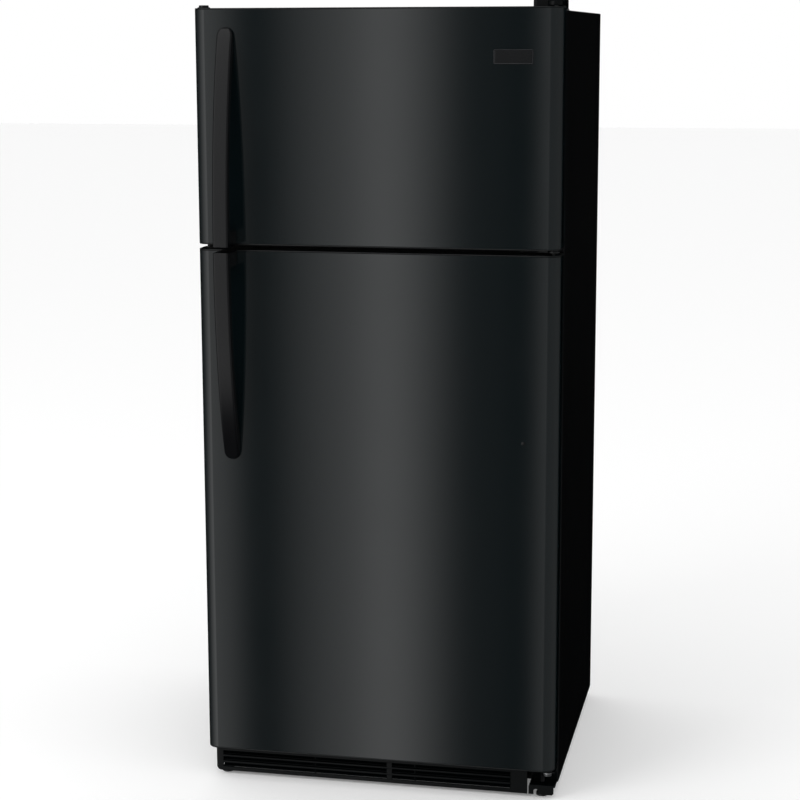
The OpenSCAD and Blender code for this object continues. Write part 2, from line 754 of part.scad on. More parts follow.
module fridge_door_panel() color(black) placed() door_skin(fridge_door_z, fridge_door_top);
module fridge_door_foam() color(foam_color) placed()
    door_foam(fridge_door_z, fridge_door_top, fridge_z, fridge_top);
module fridge_door_liner() color(white) placed()
    door_liner(fridge_door_z, fridge_door_top, fridge_z, fridge_top);
module fridge_door_caps() color(black) placed() door_caps(fridge_door_z, fridge_door_top);
module fridge_door_gasket() color(black) placed() door_gasket(fridge_door_z, fridge_door_top);
module fridge_handle() color(black) placed()
    translate([handle_x, 0, fridge_door_top - handle_len]) handle(handle_len);

// door shelves hang between the sides of the raised rim
bin_x = rim_x - rim_w - 0.5;
bin_y = 58;
module door_bin(z, h) tray([-bin_x, door_back + liner_t, z], [bin_x, bin_y, z + h], 2.5);

module freezer_door_racks() color(white) placed() {
    door_bin(freezer_z + 50, 70);
    door_bin(freezer_z + 210, 60);
}

// three bins and the open box of the dairy compartment
dairy_z = fridge_top - 165;
dairy_h = 100;
module fridge_door_bins() color(white) placed() {
    door_bin(190, 105);
    door_bin(440, 90);
    door_bin(690, 80);
    difference() {
        span([-bin_x, door_back + liner_t, dairy_z], [bin_x, bin_y - 8, dairy_z + dairy_h]);
        span([-bin_x + 2.5, door_back + liner_t + 2.5, dairy_z + 2.5],
             [bin_x - 2.5, bin_y, dairy_z + dairy_h - 2.5]);
        span([-bin_x + 2.5, 24, dairy_z + dairy_h - 3], [bin_x - 2.5, bin_y, dairy_z + dairy_h + 1]);
        rod_x([-bin_x - 1, bin_y - 16, dairy_z + dairy_h - 10], 2.5 + run_fit, 2 * bin_x + 2);
    }
}

// clear lid that wraps over the top edge and turns on two pins near its upper corners
module dairy_lid() color(clear) placed() {
    z = dairy_z + dairy_h - 10;
    x = bin_x - 3.2;
    span([-x, bin_y - 7, dairy_z + 1], [x, bin_y - 4.5, z + 9.5]);
    span([-x, 26.5, z + 7], [x, bin_y - 5, z + 9.5]);
    for (s = [-1, 1]) {
        translate([s * (x - 1.5) - 1.5, bin_y - 20, z - 4]) cube([3, 14, 13]);
        rod_x([s > 0 ? x - 1 : -x - 2.4, bin_y - 16, z], 2.5, 3.4);
    }
}

// blank plate on the freezer door
module nameplate() color([0.12, 0.12, 0.13]) placed()
    span([242, door_front - 2.4, 1533], [321, door_front, 1562]);

// plug over the unused hinge hole in the freezer door's top
module hinge_hole_plug() color(black) placed() {
    rod_z([-axis_x - 1, axis_y, freezer_door_top], 13, 2);
    rod_z([-axis_x - 1, axis_y, freezer_door_top + 2], 10, 4);
}

// button in the spare handle screw hole
module handle_hole_plug() color([0.15, 0.15, 0.16]) placed() {
    rod_y([307, door_front - 1.6, 771], 3.8, 1.6);
    rod_y([307, door_front - 2.2, 771], 2, 1);
}

outer_case();
back_panel();
base_pan();
insulation_foam();
freezer_liner();
fridge_liner();
center_rail();
machine_cover();
compressor();
compressor_mounts();
condenser_coil();
condenser_fan();
fan_motors();
drain_pan();
cord_inlet();
toe_grille();
top_hinge();
hinge_cover();
center_hinge();
bottom_hinge();
hinge_washers();
hinge_screws();
evaporator_cover();
evaporator_coil();
evaporator_fan();
freezer_shelf();
control_housing();
light_bulb();
shelf_frames();
shelf_glass();
crisper_cover();
crisper_left();
crisper_right();
temperature_knob();
freezer_knob();
switch_plunger();
front_roller_left();
front_roller_right();
rear_roller_left();
rear_roller_right();
leveling_leg_left();
leveling_leg_right();
freezer_door_panel();
freezer_door_foam();
freezer_door_liner();
freezer_door_caps();
freezer_door_gasket();
freezer_handle();
freezer_door_racks();
nameplate();
hinge_hole_plug();
fridge_door_panel();
fridge_door_foam();
fridge_door_liner();
fridge_door_caps();
fridge_door_gasket();
fridge_handle();
fridge_door_bins();
dairy_lid();
handle_hole_plug();
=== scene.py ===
import math

import bmesh
import bpy
from mathutils import Matrix, Vector


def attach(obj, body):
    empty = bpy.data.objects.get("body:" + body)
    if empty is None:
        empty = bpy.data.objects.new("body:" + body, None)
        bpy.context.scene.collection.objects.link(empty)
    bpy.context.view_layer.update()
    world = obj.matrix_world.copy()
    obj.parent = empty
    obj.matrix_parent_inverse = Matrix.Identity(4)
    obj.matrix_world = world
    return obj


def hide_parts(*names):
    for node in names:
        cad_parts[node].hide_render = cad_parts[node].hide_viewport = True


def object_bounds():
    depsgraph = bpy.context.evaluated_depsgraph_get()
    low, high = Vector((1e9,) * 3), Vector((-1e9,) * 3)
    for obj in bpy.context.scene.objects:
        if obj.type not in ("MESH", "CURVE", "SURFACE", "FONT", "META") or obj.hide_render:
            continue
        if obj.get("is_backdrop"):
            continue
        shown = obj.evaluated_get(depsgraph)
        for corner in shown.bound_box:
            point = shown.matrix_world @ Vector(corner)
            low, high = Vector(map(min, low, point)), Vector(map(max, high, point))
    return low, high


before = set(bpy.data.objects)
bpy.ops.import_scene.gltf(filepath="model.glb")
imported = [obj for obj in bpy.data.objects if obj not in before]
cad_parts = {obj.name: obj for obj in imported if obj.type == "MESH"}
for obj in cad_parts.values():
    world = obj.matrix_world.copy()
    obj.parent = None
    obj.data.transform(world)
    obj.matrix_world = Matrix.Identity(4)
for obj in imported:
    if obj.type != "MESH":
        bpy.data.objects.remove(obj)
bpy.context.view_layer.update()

# ---- Cabinet wrap ----
# One pre-painted steel sheet is folded over both sides and the top, with a return flange
# that frames the front opening. The paint is black with a fine orange-peel texture.

# lengths are millimetres with y = 0 on the cabinet front, until piece() moves them to the row frame
TO_ROW = Matrix.Scale(0.001, 4) @ Matrix.Translation((0, -245, 0))
QUARTER = math.pi / 2
ORIGIN = (0, 0, 0)


def spot(axis, h, u, v):
    if axis == "x":
        return Vector((h, u, v))
    if axis == "y":
        return Vector((u, h, v))
    return Vector((u, v, h))


def arc(u, v, r, first, last, n):
    """Points of a round stretch about (u, v), between two angles given in quarter turns."""
    angles = [QUARTER * (first + (last - first) * k / n) for k in range(n + 1)]
    return [(u + r * math.cos(a), v + r * math.sin(a)) for a in angles]


def loft(bm, loops, closed=False, mat=0):
    """Skins a list of equal loops and caps the ends, or joins the last loop to the first."""
    rows = [[bm.verts.new(p) for p in loop] for loop in loops]
    pairs = list(zip(rows, rows[1:]))
    if closed:
        pairs.append((rows[-1], rows[0]))
    count = len(rows[0])
    faces = []
    for a, b in pairs:
        for i in range(count):
            j = (i + 1) % count
            faces.append(bm.faces.new((a[i], a[j], b[j], b[i])))
    if not closed:
        faces.append(bm.faces.new(rows[0]))
        faces.append(bm.faces.new(rows[-1]))
    for face in faces:
        face.material_index = mat


def merge(bm, part, mat=0):
    """Adds the solid part to bm."""
    for face in part.faces:
        face.material_index = mat
    mesh = bpy.data.meshes.new("part")
    part.to_mesh(mesh)
    part.free()
    bm.from_mesh(mesh)
    bpy.data.meshes.remove(mesh)


def soften(bm, edges, width, segments):
    bmesh.ops.bevel(bm, geom=edges, offset=width, segments=segments, profile=0.5, affect="EDGES",
                    clamp_overlap=False)


def prism(bm, outline, axis, h0, h1, edge=0.4, segments=2, mat=0):
    """Extrudes a plane outline along axis and rounds the edges of both ends."""
    part = bmesh.new()
    rows = [[part.verts.new(spot(axis, h, u, v)) for u, v in outline] for h in (h0, h1)]
    caps = [part.faces.new(row) for row in rows]
    count = len(outline)
    for i in range(count):
        j = (i + 1) % count
        part.faces.new((rows[0][i], rows[0][j], rows[1][j], rows[1][i]))
    bmesh.ops.recalc_face_normals(part, faces=part.faces)
    if edge:
        soften(part, list({e for cap in caps for e in cap.edges}), edge, segments)
    merge(bm, part, mat)


def ring(axis, h, low, high, r, n=4):
    """A rounded rectangle across axis at height h."""
    r = max(0.05, min(r, (high[0] - low[0]) / 2 - 0.01, (high[1] - low[1]) / 2 - 0.01))
    centres = ((high[0] - r, high[1] - r), (low[0] + r, high[1] - r),
               (low[0] + r, low[1] + r), (high[0] - r, low[1] + r))
    return [spot(axis, h, u, v) for quarter, centre in enumerate(centres)
            for u, v in arc(*centre, r, quarter, quarter + 1, n)]


def block(bm, low, high, r=1, axis="z", corner=None, n=3, mat=0):
    """A solid box with all its edges rounded by r, and its four upright ones by corner."""
    i = "xyz".index(axis)
    u, v = [k for k in range(3) if k != i]
    corner = r if corner is None else corner
    loops = []
    for end, way in ((low[i], 1), (high[i], -1)):
        part = []
        for k in range(n + 1):
            a = QUARTER * k / n
            d = r * (1 - math.sin(a))
            part.append(ring(axis, end + way * r * (1 - math.cos(a)), (low[u] + d, low[v] + d),
                             (high[u] - d, high[v] - d), corner - d, max(n, 4)))
        loops += part if way > 0 else part[::-1]
    loft(bm, loops, mat=mat)


def piece(name, bm, finishes, node, body="cabinet", sharp=35):
    """Turns bm into an object in the row frame that stands for a CAD node and rides on a body."""
    bmesh.ops.recalc_face_normals(bm, faces=bm.faces)
    bmesh.ops.transform(bm, matrix=TO_ROW, verts=bm.verts)
    mesh = bpy.data.meshes.new(name)
    bm.to_mesh(mesh)
    bm.free()
    for made in finishes:
        mesh.materials.append(made)
    mesh.polygons.foreach_set("use_smooth", [True] * len(mesh.polygons))
    mesh.set_sharp_from_angle(angle=math.radians(sharp))
    thing = bpy.data.objects.new(name, mesh)
    bpy.context.collection.objects.link(thing)
    even = thing.modifiers.new("even", "WEIGHTED_NORMAL")
    even.keep_sharp = True
    graph = bpy.context.evaluated_depsgraph_get()
    thing.data = bpy.data.meshes.new_from_object(thing.evaluated_get(graph))
    thing.data.name = name
    thing.modifiers.clear()
    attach(thing, body)
    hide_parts(node)


def new_tree(kind, name, inputs, outputs):
    """A node group with (label, kind, value) inputs and (label, kind) outputs."""
    tree = bpy.data.node_groups.new(name, kind)
    for label, socket_kind, value in inputs:
        socket = tree.interface.new_socket(label, in_out="INPUT", socket_type="NodeSocket" + socket_kind)
        if value is not None:
            socket.default_value = value
    for label, socket_kind in outputs:
        tree.interface.new_socket(label, in_out="OUTPUT", socket_type="NodeSocket" + socket_kind)
    return tree, tree.nodes.new("NodeGroupInput"), tree.nodes.new("NodeGroupOutput")


def add(tree, kind, sockets=None, **settings):
    made = tree.nodes.new(kind)
    for label, value in settings.items():
        setattr(made, label, value)
    for label, value in (sockets or {}).items():
        made.inputs[label].default_value = value
    return made


def link(tree, *rows):
    """Joins sockets; a row is a node, its output, the next node and its input."""
    for start, out, end, into in rows:
        tree.links.new(start.outputs[out], end.inputs[into])


# shared look of a moulded or painted surface: soft blotches of colour, uneven gloss, fine grain
surface, s_in, s_out = new_tree(
    "ShaderNodeTree", "moulded_surface",
    [("Vector", "Vector", None), ("Color", "Color", (0.5, 0.5, 0.5, 1)),
     ("Aged Color", "Color", (0.4, 0.4, 0.4, 1)), ("Roughness", "Float", 0.5),
     ("Roughness Spread", "Float", 0.1), ("Grain Scale", "Float", 800),
     ("Stretch", "Vector", (1, 1, 1))],
    [("Color", "Color"), ("Roughness", "Float"), ("Height", "Float")])
stretch = add(surface, "ShaderNodeVectorMath", operation="MULTIPLY")
blotch = add(surface, "ShaderNodeTexNoise", {"Scale": 7, "Detail": 5})
grain = add(surface, "ShaderNodeTexNoise", {"Detail": 3})
shade = add(surface, "ShaderNodeMix", data_type="RGBA")
uneven = add(surface, "ShaderNodeMath", operation="MULTIPLY")
gloss = add(surface, "ShaderNodeMath")
link(surface, (s_in, "Vector", stretch, 0), (s_in, "Stretch", stretch, 1),
     (s_in, "Vector", blotch, "Vector"), (stretch, "Vector", grain, "Vector"), (s_in, "Grain Scale", grain, "Scale"),
     (blotch, "Fac", shade, "Factor"), (s_in, "Color", shade, "A"), (s_in, "Aged Color", shade, "B"),
     (blotch, "Fac", uneven, 0), (s_in, "Roughness Spread", uneven, 1),
     (uneven, "Value", gloss, 0), (s_in, "Roughness", gloss, 1), (shade, "Result", s_out, "Color"),
     (gloss, "Value", s_out, "Roughness"), (grain, "Fac", s_out, "Height"))


def finish(name, color, aged, rough, spread, grain_scale, depth, metallic=0, coat=0,
           stretched=(1, 1, 1), specular=0.5):
    """A material on the shared surface; depth is the height of its grain in millimetres."""
    made = bpy.data.materials.new(name)
    made.use_nodes = True
    tree = made.node_tree
    shader = tree.nodes["Principled BSDF"]
    shader.inputs["Metallic"].default_value = metallic
    shader.inputs["Coat Weight"].default_value = coat
    shader.inputs["Coat Roughness"].default_value = 0.08
    shader.inputs["Specular IOR Level"].default_value = specular
    coords = add(tree, "ShaderNodeTexCoord")
    skin = add(tree, "ShaderNodeGroup",
               {"Color": (*color, 1), "Aged Color": (*aged, 1), "Roughness": rough,
                "Roughness Spread": spread, "Grain Scale": grain_scale, "Stretch": stretched},
               node_tree=surface)
    bump = add(tree, "ShaderNodeBump", {"Distance": depth / 1000, "Strength": 0.6})
    link(tree, (coords, "Object", skin, "Vector"), (skin, "Color", shader, "Base Color"),
         (skin, "Roughness", shader, "Roughness"), (skin, "Height", bump, "Height"),
         (bump, "Normal", shader, "Normal"))
    return made


case_paint = finish("case_paint", (0.0005, 0.0008, 0.0011), (0.0003, 0.0006, 0.0009),
                    0.22, 0.06, 520, 0.03, specular=0.22)
WRAP = 378
TOP = 1638
SIDE_FOOT = 22
BACK_FACE = 630
case = bmesh.new()
wrap_line = [(-WRAP, SIDE_FOOT, 1, 0), (-WRAP, TOP, 1, -1), (WRAP, TOP, -1, -1), (WRAP, SIDE_FOOT, -1, 0)]
wrap_section = [(0, BACK_FACE - 1.4)] + arc(2.5, 2.5, 2.5, 2, 3, 4)
wrap_section += [(39.6, 0), (40, 0.3), (40, 1.2), (3.6, 1.2), (1.2, 3.6), (1.2, BACK_FACE - 1.4)]
loft(case, [[Vector((x + sx * d, y, z + sz * d)) for d, y in wrap_section] for x, z, sx, sz in wrap_line])
soften(case, [e for e in case.edges
              if all(abs(abs(v.co.x) - WRAP) < 0.1 and abs(v.co.z - TOP) < 0.1 for v in e.verts)], 2, 3)
piece("cabinet_wrap", case, [case_paint], "outer_case")

rail = bmesh.new()
block(rail, (-338, -0.2, 1125), (338, 1.1, 1200), 0.4)
piece("center_rail_cover", rail, [case_paint], "center_rail")

# ---- Door skins and end caps ----
# Each door is a rolled sheet of gloss black painted steel, bent round both front corners and
# folded in behind. Moulded end caps close it at the top and bottom and hold the hinge pins.

door_paint = finish("door_paint", (0.0022, 0.0043, 0.005), (0.0017, 0.0035, 0.0041),
                    0.045, 0.02, 160, 0.0012)
door_trim = finish("door_trim", (0.0035, 0.0043, 0.0048), (0.0026, 0.0034, 0.0038), 0.24, 0.1, 900, 0.02,
                   specular=0.35)
DOOR_FACE = -74
DOOR_BACK = -12
DOOR_SHEET = 1.2
CAP = 2.7
# name, bottom and top of each door
DOORS = [("freezer_door", 1165, 1645), ("fridge_door", 70, 1155)]
HINGE_X = 361
HINGE_Y = -43


def door_plan(inset, back):
    """Plan of a door: straight sides and front, round front corners, open at the back."""
    side = WRAP - inset
    half = [(side, back), (side, -48.4)]
    half += arc(353, -49, 25 - inset, 0, -1, 16)
    half.append((352.4, DOOR_FACE + inset))
    return half + [(-x, y) for x, y in half[::-1]]


def pierced(bm, outline, holes, axis, h0, h1, edge=0.4, segments=2):
    """A plate across axis from h0 to h1 with a plane outline and holes, its rims rounded."""
    part = bmesh.new()
    for line in [outline] + holes:
        verts = [part.verts.new(spot(axis, h0, u, v)) for u, v in line]
        for a, b in zip(verts, verts[1:] + verts[:1]):
            part.edges.new((a, b))
    made = bmesh.ops.triangle_fill(part, use_beauty=True, use_dissolve=False, edges=part.edges[:])
    front = [g for g in made["geom"] if isinstance(g, bmesh.types.BMFace)]
    pushed = bmesh.ops.extrude_face_region(part, geom=front, use_keep_orig=True)
    moved = [g for g in pushed["geom"] if isinstance(g, bmesh.types.BMVert)]
    bmesh.ops.translate(part, vec=spot(axis, h1 - h0, 0, 0), verts=moved)
    bmesh.ops.recalc_face_normals(part, faces=part.faces)
    soften(part, [e for e in part.edges if len(e.link_faces) == 2 and e.calc_face_angle(0) > 1.2
                  and abs((e.verts[0].co - e.verts[1].co)["xyz".index(axis)]) < 1e-4], edge, segments)
    merge(bm, part)


def rounded(u0, v0, u1, v1, r, n=5):
    return [(p.y, p.z) for p in ring("x", 0, (u0, v0), (u1, v1), r, n)]


for door, z0, z1 in DOORS:
    skin = bmesh.new()
    outside = [(358, DOOR_BACK)] + door_plan(0, DOOR_BACK) + [(-358, DOOR_BACK)]
    fold = DOOR_BACK - DOOR_SHEET
    inside = [(358, fold)] + door_plan(DOOR_SHEET, fold) + [(-358, fold)]
    prism(skin, outside + inside[::-1], "z", z0 + CAP + 0.2, z1 - CAP - 0.2, edge=0.35)
    pierced(skin, rounded(-359, z0 + 3.5, 359, z1 - 3.5, 2),
            [rounded(-340, z0 + 28, 340, z1 - 28, 4)], "y", DOOR_BACK - 1, DOOR_BACK + 0.1,
            edge=0.2, segments=1)
    piece(door + "_skin", skin, [door_paint], door + "_panel", door, sharp=30)
    caps = bmesh.new()
    for end, way in ((z1, -1), (z0, 1)):
        prism(caps, door_plan(0, DOOR_BACK), "z", *sorted((end, end + way * CAP)), edge=1.1, segments=3)
    for end, way in ((z1, -1), (z0, 1)):
        prism(caps, door_plan(1.5, DOOR_BACK - 1.4), "z", *sorted((end + way * (CAP - 0.1), end + way * 9)),
              edge=0)
    piece(door + "_end_caps", caps, [door_trim], door + "_caps", door)

# ---- Handles ----
# Each handle is one moulding: it rises from the door at its far end, bows outwards and returns
# to the door on a solid foot next to the gap between the doors.

handle_black = finish("handle_black", (0.0016, 0.0018, 0.0024), (0.0011, 0.0013, 0.0018),
                      0.17, 0.05, 1100, 0.01, specular=0.3)
HANDLE_X = -307
HANDLE_HALF = 16.5
HANDLE_LENGTH = 442
HANDLE_RISE = 61
GAP_RISE = 46
GAP_START = 0.12
GAP_END = 0.93
LIP = 5
GAP_FILLET = 7
FOOT_ROUND = 2


def quarter_round(r, s):
    """How far a round of radius r falls back at the distance s along it."""
    return r - math.sqrt(max(0, r ** 2 - s ** 2))


def handle_loop(s, z):
    """Section of a handle at the distance s from its far end."""
    width = HANDLE_HALF
    if s < HANDLE_HALF:
        width = math.sqrt(max(0.6, HANDLE_HALF ** 2 - (HANDLE_HALF - s) ** 2))
    lift = LIP * (1 if s > LIP else math.sqrt(max(0.02, 1 - (1 - s / LIP) ** 2)))
    front = DOOR_FACE - lift - HANDLE_RISE * bow(s / HANDLE_LENGTH)
    back = DOOR_FACE + 0.4
    near = GAP_END * HANDLE_LENGTH
    u = (min(s, near) / HANDLE_LENGTH - GAP_START) / (GAP_END - GAP_START)
    if 0 < u and s <= near:
        back = DOOR_FACE - GAP_RISE * bow(u) + quarter_round(GAP_FILLET, max(0, s - near + GAP_FILLET))
    trim = quarter_round(FOOT_ROUND, max(0, s - HANDLE_LENGTH + FOOT_ROUND))
    front += trim
    width -= trim
    loop = ring("z", z, (-width, front), (width, back), min(4.5, (back - front) / 2 - 0.1), 5)
    for p in loop:
        share = (back - p.y) / (back - front)
        p.y += 1.3 * share * (1 - min(1, abs(p.x) / width) ** 2)
        p.x += HANDLE_X
    return loop


def bow(t):
    return max(0, 1 - (1 - t) ** 2) ** 0.82


# close sections at the round far end, at the edge of the hand gap and at the foot
lengths = [0.05, 0.5, 1.2, 2.2, 3.6, 5.4, 7.6, 10, 12.5, 15, 17, 21, 26, 32, 39, 46, 52.5]
lengths += [53.6, 56, 60, 66] + [72 + 12 * k for k in range(28)]
lengths += [404.05 + 0.7 * k for k in range(11)] + [411.2, 418, 428, 438, 440, 440.8, 441.4, 441.8, 442]
for door, far, way in (("freezer_door", 1607, -1), ("fridge_door", 713, 1)):
    grip = bmesh.new()
    loft(grip, [handle_loop(s, far + way * s) for s in sorted(lengths)])
    label = door.split("_")[0] + "_handle"
    piece(label + "_grip", grip, [handle_black], label, door, sharp=50)

# ---- Nameplate and plugs ----
# A blank plate is stuck on the freezer door. Moulded plugs close the spare hinge hole in its
# top and the spare handle screw hole of the fresh food door.

plate_metal = finish("plate_metal", (0.0015, 0.0018, 0.0022), (0.006, 0.0065, 0.007), 0.16, 0.12, 900, 0.02,
                     specular=0.16, stretched=(0.05, 1, 1))
plate_rim = finish("plate_rim", (0.05, 0.051, 0.054), (0.035, 0.036, 0.039), 0.16, 0.06, 900, 0.01,
                   metallic=0.8)


def framed(bm, axis, low, high, corner, stations, mat=0, n=5):
    """Lofts one rounded rectangle through (inset, height) stations."""
    loft(bm, [ring(axis, h, (low[0] + d, low[1] + d), (high[0] - d, high[1] - d),
                   max(corner - d, 0.3), n) for d, h in stations], mat=mat)


plate = bmesh.new()
framed(plate, "y", (242, 1533), (321, 1562), 2,
       [(d, DOOR_FACE - h) for d, h in ((0, -0.05), (0, 1.5), (0.3, 2.1), (1, 2.4), (1.5, 2.2),
                                        (1.9, 1.7))], mat=1)
framed(plate, "y", (243.7, 1534.7), (319.3, 1560.3), 1.2,
       [(d, DOOR_FACE - h) for d, h in ((0, 0.3), (0, 1.7), (0.4, 1.95), (3, 2.05))])
piece("blank_nameplate", plate, [plate_metal, plate_rim], "nameplate", "freezer_door")


def circle(u, v, r, n=48):
    return arc(u, v, r, 0, 4, n)[:-1]


def lathe(bm, profile, at, axis="z", n=40, closed=False, mat=0):
    """Turns (radius, height) pairs round an axis through the point at."""
    loft(bm, [[Vector(at) + spot(axis, h, u, v) for u, v in circle(0, 0, r, n)] for r, h in profile],
         closed=closed, mat=mat)


plug = bmesh.new()
lathe(plug, [(13, 0), (13, 1.2), (12.4, 1.9), (10.6, 2.1), (10, 2.5), (10, 5), (9.6, 5.7),
             (8.8, 6), (0.5, 6)], (-HINGE_X - 1, HINGE_Y, 1645))
piece("spare_hinge_plug", plug, [door_trim], "hinge_hole_plug", "freezer_door")
button = bmesh.new()
lathe(button, [(3.8, 0.1), (3.8, -0.9), (3.5, -1.4), (2.8, -1.7), (2.3, -1.7), (2.1, -2), (1.6, -2.2),
               (0.3, -2.2)], (307, DOOR_FACE, 771), axis="y", n=28)
piece("spare_screw_plug", button, [door_trim], "handle_hole_plug", "fridge_door")

# ---- Toe grille ----
# A black moulded grille clips under the doors. Three long slots are divided by rounded slats
# with slanted vanes behind them; both ends are solid and the lower left corner is rounded.

black_plastic = finish("black_plastic", (0.0012, 0.0018, 0.002), (0.0008, 0.0013, 0.0015),
                       0.13, 0.06, 700, 0.02, specular=0.14)

# copies of one unit in a straight row, turned step by step if needed
row_tree, r_in, r_out = new_tree(
    "GeometryNodeTree", "row_of_units",
    [("Unit", "Object", None), ("Count", "Int", None), ("Start", "Vector", None), ("Step", "Vector", None),
     ("Turn Step", "Vector", None), ("Finish", "Material", None)], [("Geometry", "Geometry")])
line = add(row_tree, "GeometryNodeMeshLine", mode="OFFSET")
info = add(row_tree, "GeometryNodeObjectInfo")
index = add(row_tree, "GeometryNodeInputIndex")
turn = add(row_tree, "ShaderNodeVectorMath", operation="SCALE")
copies = add(row_tree, "GeometryNodeInstanceOnPoints")
real = add(row_tree, "GeometryNodeRealizeInstances")
painted = add(row_tree, "GeometryNodeSetMaterial")
link(row_tree, (r_in, "Count", line, "Count"), (r_in, "Start", line, "Start Location"),
     (r_in, "Step", line, "Offset"), (r_in, "Unit", info, "Object"), (r_in, "Turn Step", turn, 0),
     (index, "Index", turn, "Scale"), (line, "Mesh", copies, "Points"),
     (info, "Geometry", copies, "Instance"), (turn, "Vector", copies, "Rotation"), (copies, "Instances", real, "Geometry"),
     (real, "Geometry", painted, "Geometry"), (r_in, "Finish", painted, "Material"),
     (painted, "Geometry", r_out, "Geometry"))


def floats(numbers):
    return [float(number) for number in numbers]


def repeat(bm, unit, count, start, step, coat, turn_step=ORIGIN, mat=0):
    """Adds a row of copies of the solid unit to bm, made by the row_of_units tree."""
    bmesh.ops.recalc_face_normals(unit, faces=unit.faces)
    mesh = bpy.data.meshes.new("unit")
    unit.to_mesh(mesh)
    unit.free()
    seed = bpy.data.objects.new("unit", mesh)
    host = bpy.data.objects.new("row", bpy.data.meshes.new("row"))
    for thing in (seed, host):
        bpy.context.collection.objects.link(thing)
    step_by = host.modifiers.new("row", "NODES")
    step_by.node_group = row_tree
    values = {"Unit": seed, "Count": count, "Start": floats(start), "Step": floats(step),
              "Turn Step": floats(turn_step), "Finish": coat}
    for item in row_tree.interface.items_tree:
        if item.in_out == "INPUT":
            step_by[item.identifier] = values[item.name]
    graph = bpy.context.evaluated_depsgraph_get()
    done = bpy.data.meshes.new_from_object(host.evaluated_get(graph))
    first = len(bm.faces)
    bm.from_mesh(done)
    bm.faces.ensure_lookup_table()
    for face in bm.faces[first:]:
        face.material_index = mat
    for thing in (seed, host):
        bpy.data.objects.remove(thing)
    bpy.data.meshes.remove(done)


def turned(bm, degrees, axis):
    way = Matrix.Rotation(math.radians(degrees), 3, axis)
    bmesh.ops.rotate(bm, cent=ORIGIN, matrix=way, verts=bm.verts)
    return bm


GRILLE_LEFT = -366
GRILLE_RIGHT = 318
GRILLE_FACE = -44
GRILLE_TOP = 62
GRILLE_FOOT = 8
SLOT_LEFT = -352
SLOT_RIGHT = 284
SLAT_PITCH = 14
grille = bmesh.new()
end_plate = arc(GRILLE_LEFT + 10, GRILLE_FOOT + 10, 10, 2, 3, 6)
end_plate += [(SLOT_LEFT + 1.5, GRILLE_FOOT), (SLOT_LEFT + 1.5, GRILLE_TOP), (GRILLE_LEFT, GRILLE_TOP)]
prism(grille, end_plate, "y", GRILLE_FACE, GRILLE_FACE + 3.5, edge=1, segments=3)
block(grille, (SLOT_RIGHT - 2, GRILLE_FACE, GRILLE_FOOT), (GRILLE_RIGHT, GRILLE_FACE + 3.5, GRILLE_TOP), 1)
for low, high in ((52.8, 61.8), (8.2, 17.2)):
    block(grille, (SLOT_LEFT, GRILLE_FACE - 0.6, low), (SLOT_RIGHT, GRILLE_FACE + 3.4, high), 1.6)
slat = bmesh.new()
block(slat, (SLOT_LEFT, -2.4, -3), (SLOT_RIGHT, 2.4, 3), 2.2, axis="x")
repeat(grille, slat, 2, (0, GRILLE_FACE + 1.2, 28), (0, 0, SLAT_PITCH), black_plastic)
vane = bmesh.new()
block(vane, (SLOT_LEFT + 1, 0, -1), (SLOT_RIGHT - 1, 19, 1), 0.6, axis="x")
repeat(grille, turned(vane, 33, "X"), 3, (0, GRILLE_FACE + 2.6, 17.6), (0, 0, SLAT_PITCH), black_plastic)
rib = bmesh.new()
block(rib, (-1.2, 2, -26), (1.2, 9, 24), 0.5)
repeat(grille, rib, 2, (-145, GRILLE_FACE + 1.5, 36), (220, 0, 0), black_plastic)
block(grille, (14, GRILLE_FACE - 1, 15.5), (26, GRILLE_FACE + 4, 54.5), 0.9)
block(grille, (GRILLE_LEFT + 1, GRILLE_FACE + 1, 59), (GRILLE_RIGHT - 1, -5, 61.8), 0.8)
block(grille, (GRILLE_LEFT, GRILLE_FACE + 1, 18), (GRILLE_LEFT + 3.5, -2, GRILLE_TOP), 0.8)
clip = bmesh.new()
block(clip, (-12, GRILLE_FACE + 1, -2), (12, -0.3, 2), 0.8)
repeat(grille, clip, 3, (-250, 0, 28), (250, 0, 0), black_plastic)
piece("toe_grille_louvers", grille, [black_plastic], "toe_grille")

# ---- Hinges ----
# Zinc-plated steel hinges: a flag on the cabinet top under a snapped-on black cover, a plate in
# the gap between the doors, and a black bracket at the bottom with the lower pin.

zinc = finish("zinc_steel", (0.55, 0.56, 0.57), (0.42, 0.43, 0.44), 0.3, 0.15, 1400, 0.01, metallic=1,
              stretched=(1, 0.15, 1))
hinge_black = finish("hinge_black", (0.01, 0.012, 0.012), (0.006, 0.0075, 0.0075), 0.24, 0.12, 1200, 0.02,
                     specular=0.4)
nylon = finish("nylon_white", (0.85, 0.85, 0.83), (0.78, 0.78, 0.76), 0.35, 0.1, 900, 0.01)


def from_cad(node, width=0.4, segments=2):
    """The CAD node's own shape with all its sharp edges rounded."""
    bm = bmesh.new()
    bm.from_mesh(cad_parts[node].data)
    bmesh.ops.transform(bm, matrix=TO_ROW.inverted(), verts=bm.verts)
    bmesh.ops.remove_doubles(bm, verts=bm.verts, dist=0.002)
    bmesh.ops.dissolve_limit(bm, angle_limit=math.radians(1.5), verts=bm.verts, edges=bm.edges)
    for face in bm.faces:
        face.material_index = 0
    soften(bm, [e for e in bm.edges if len(e.link_faces) == 2 and e.calc_face_angle(0) > math.radians(40)],
           width, segments)
    return bm


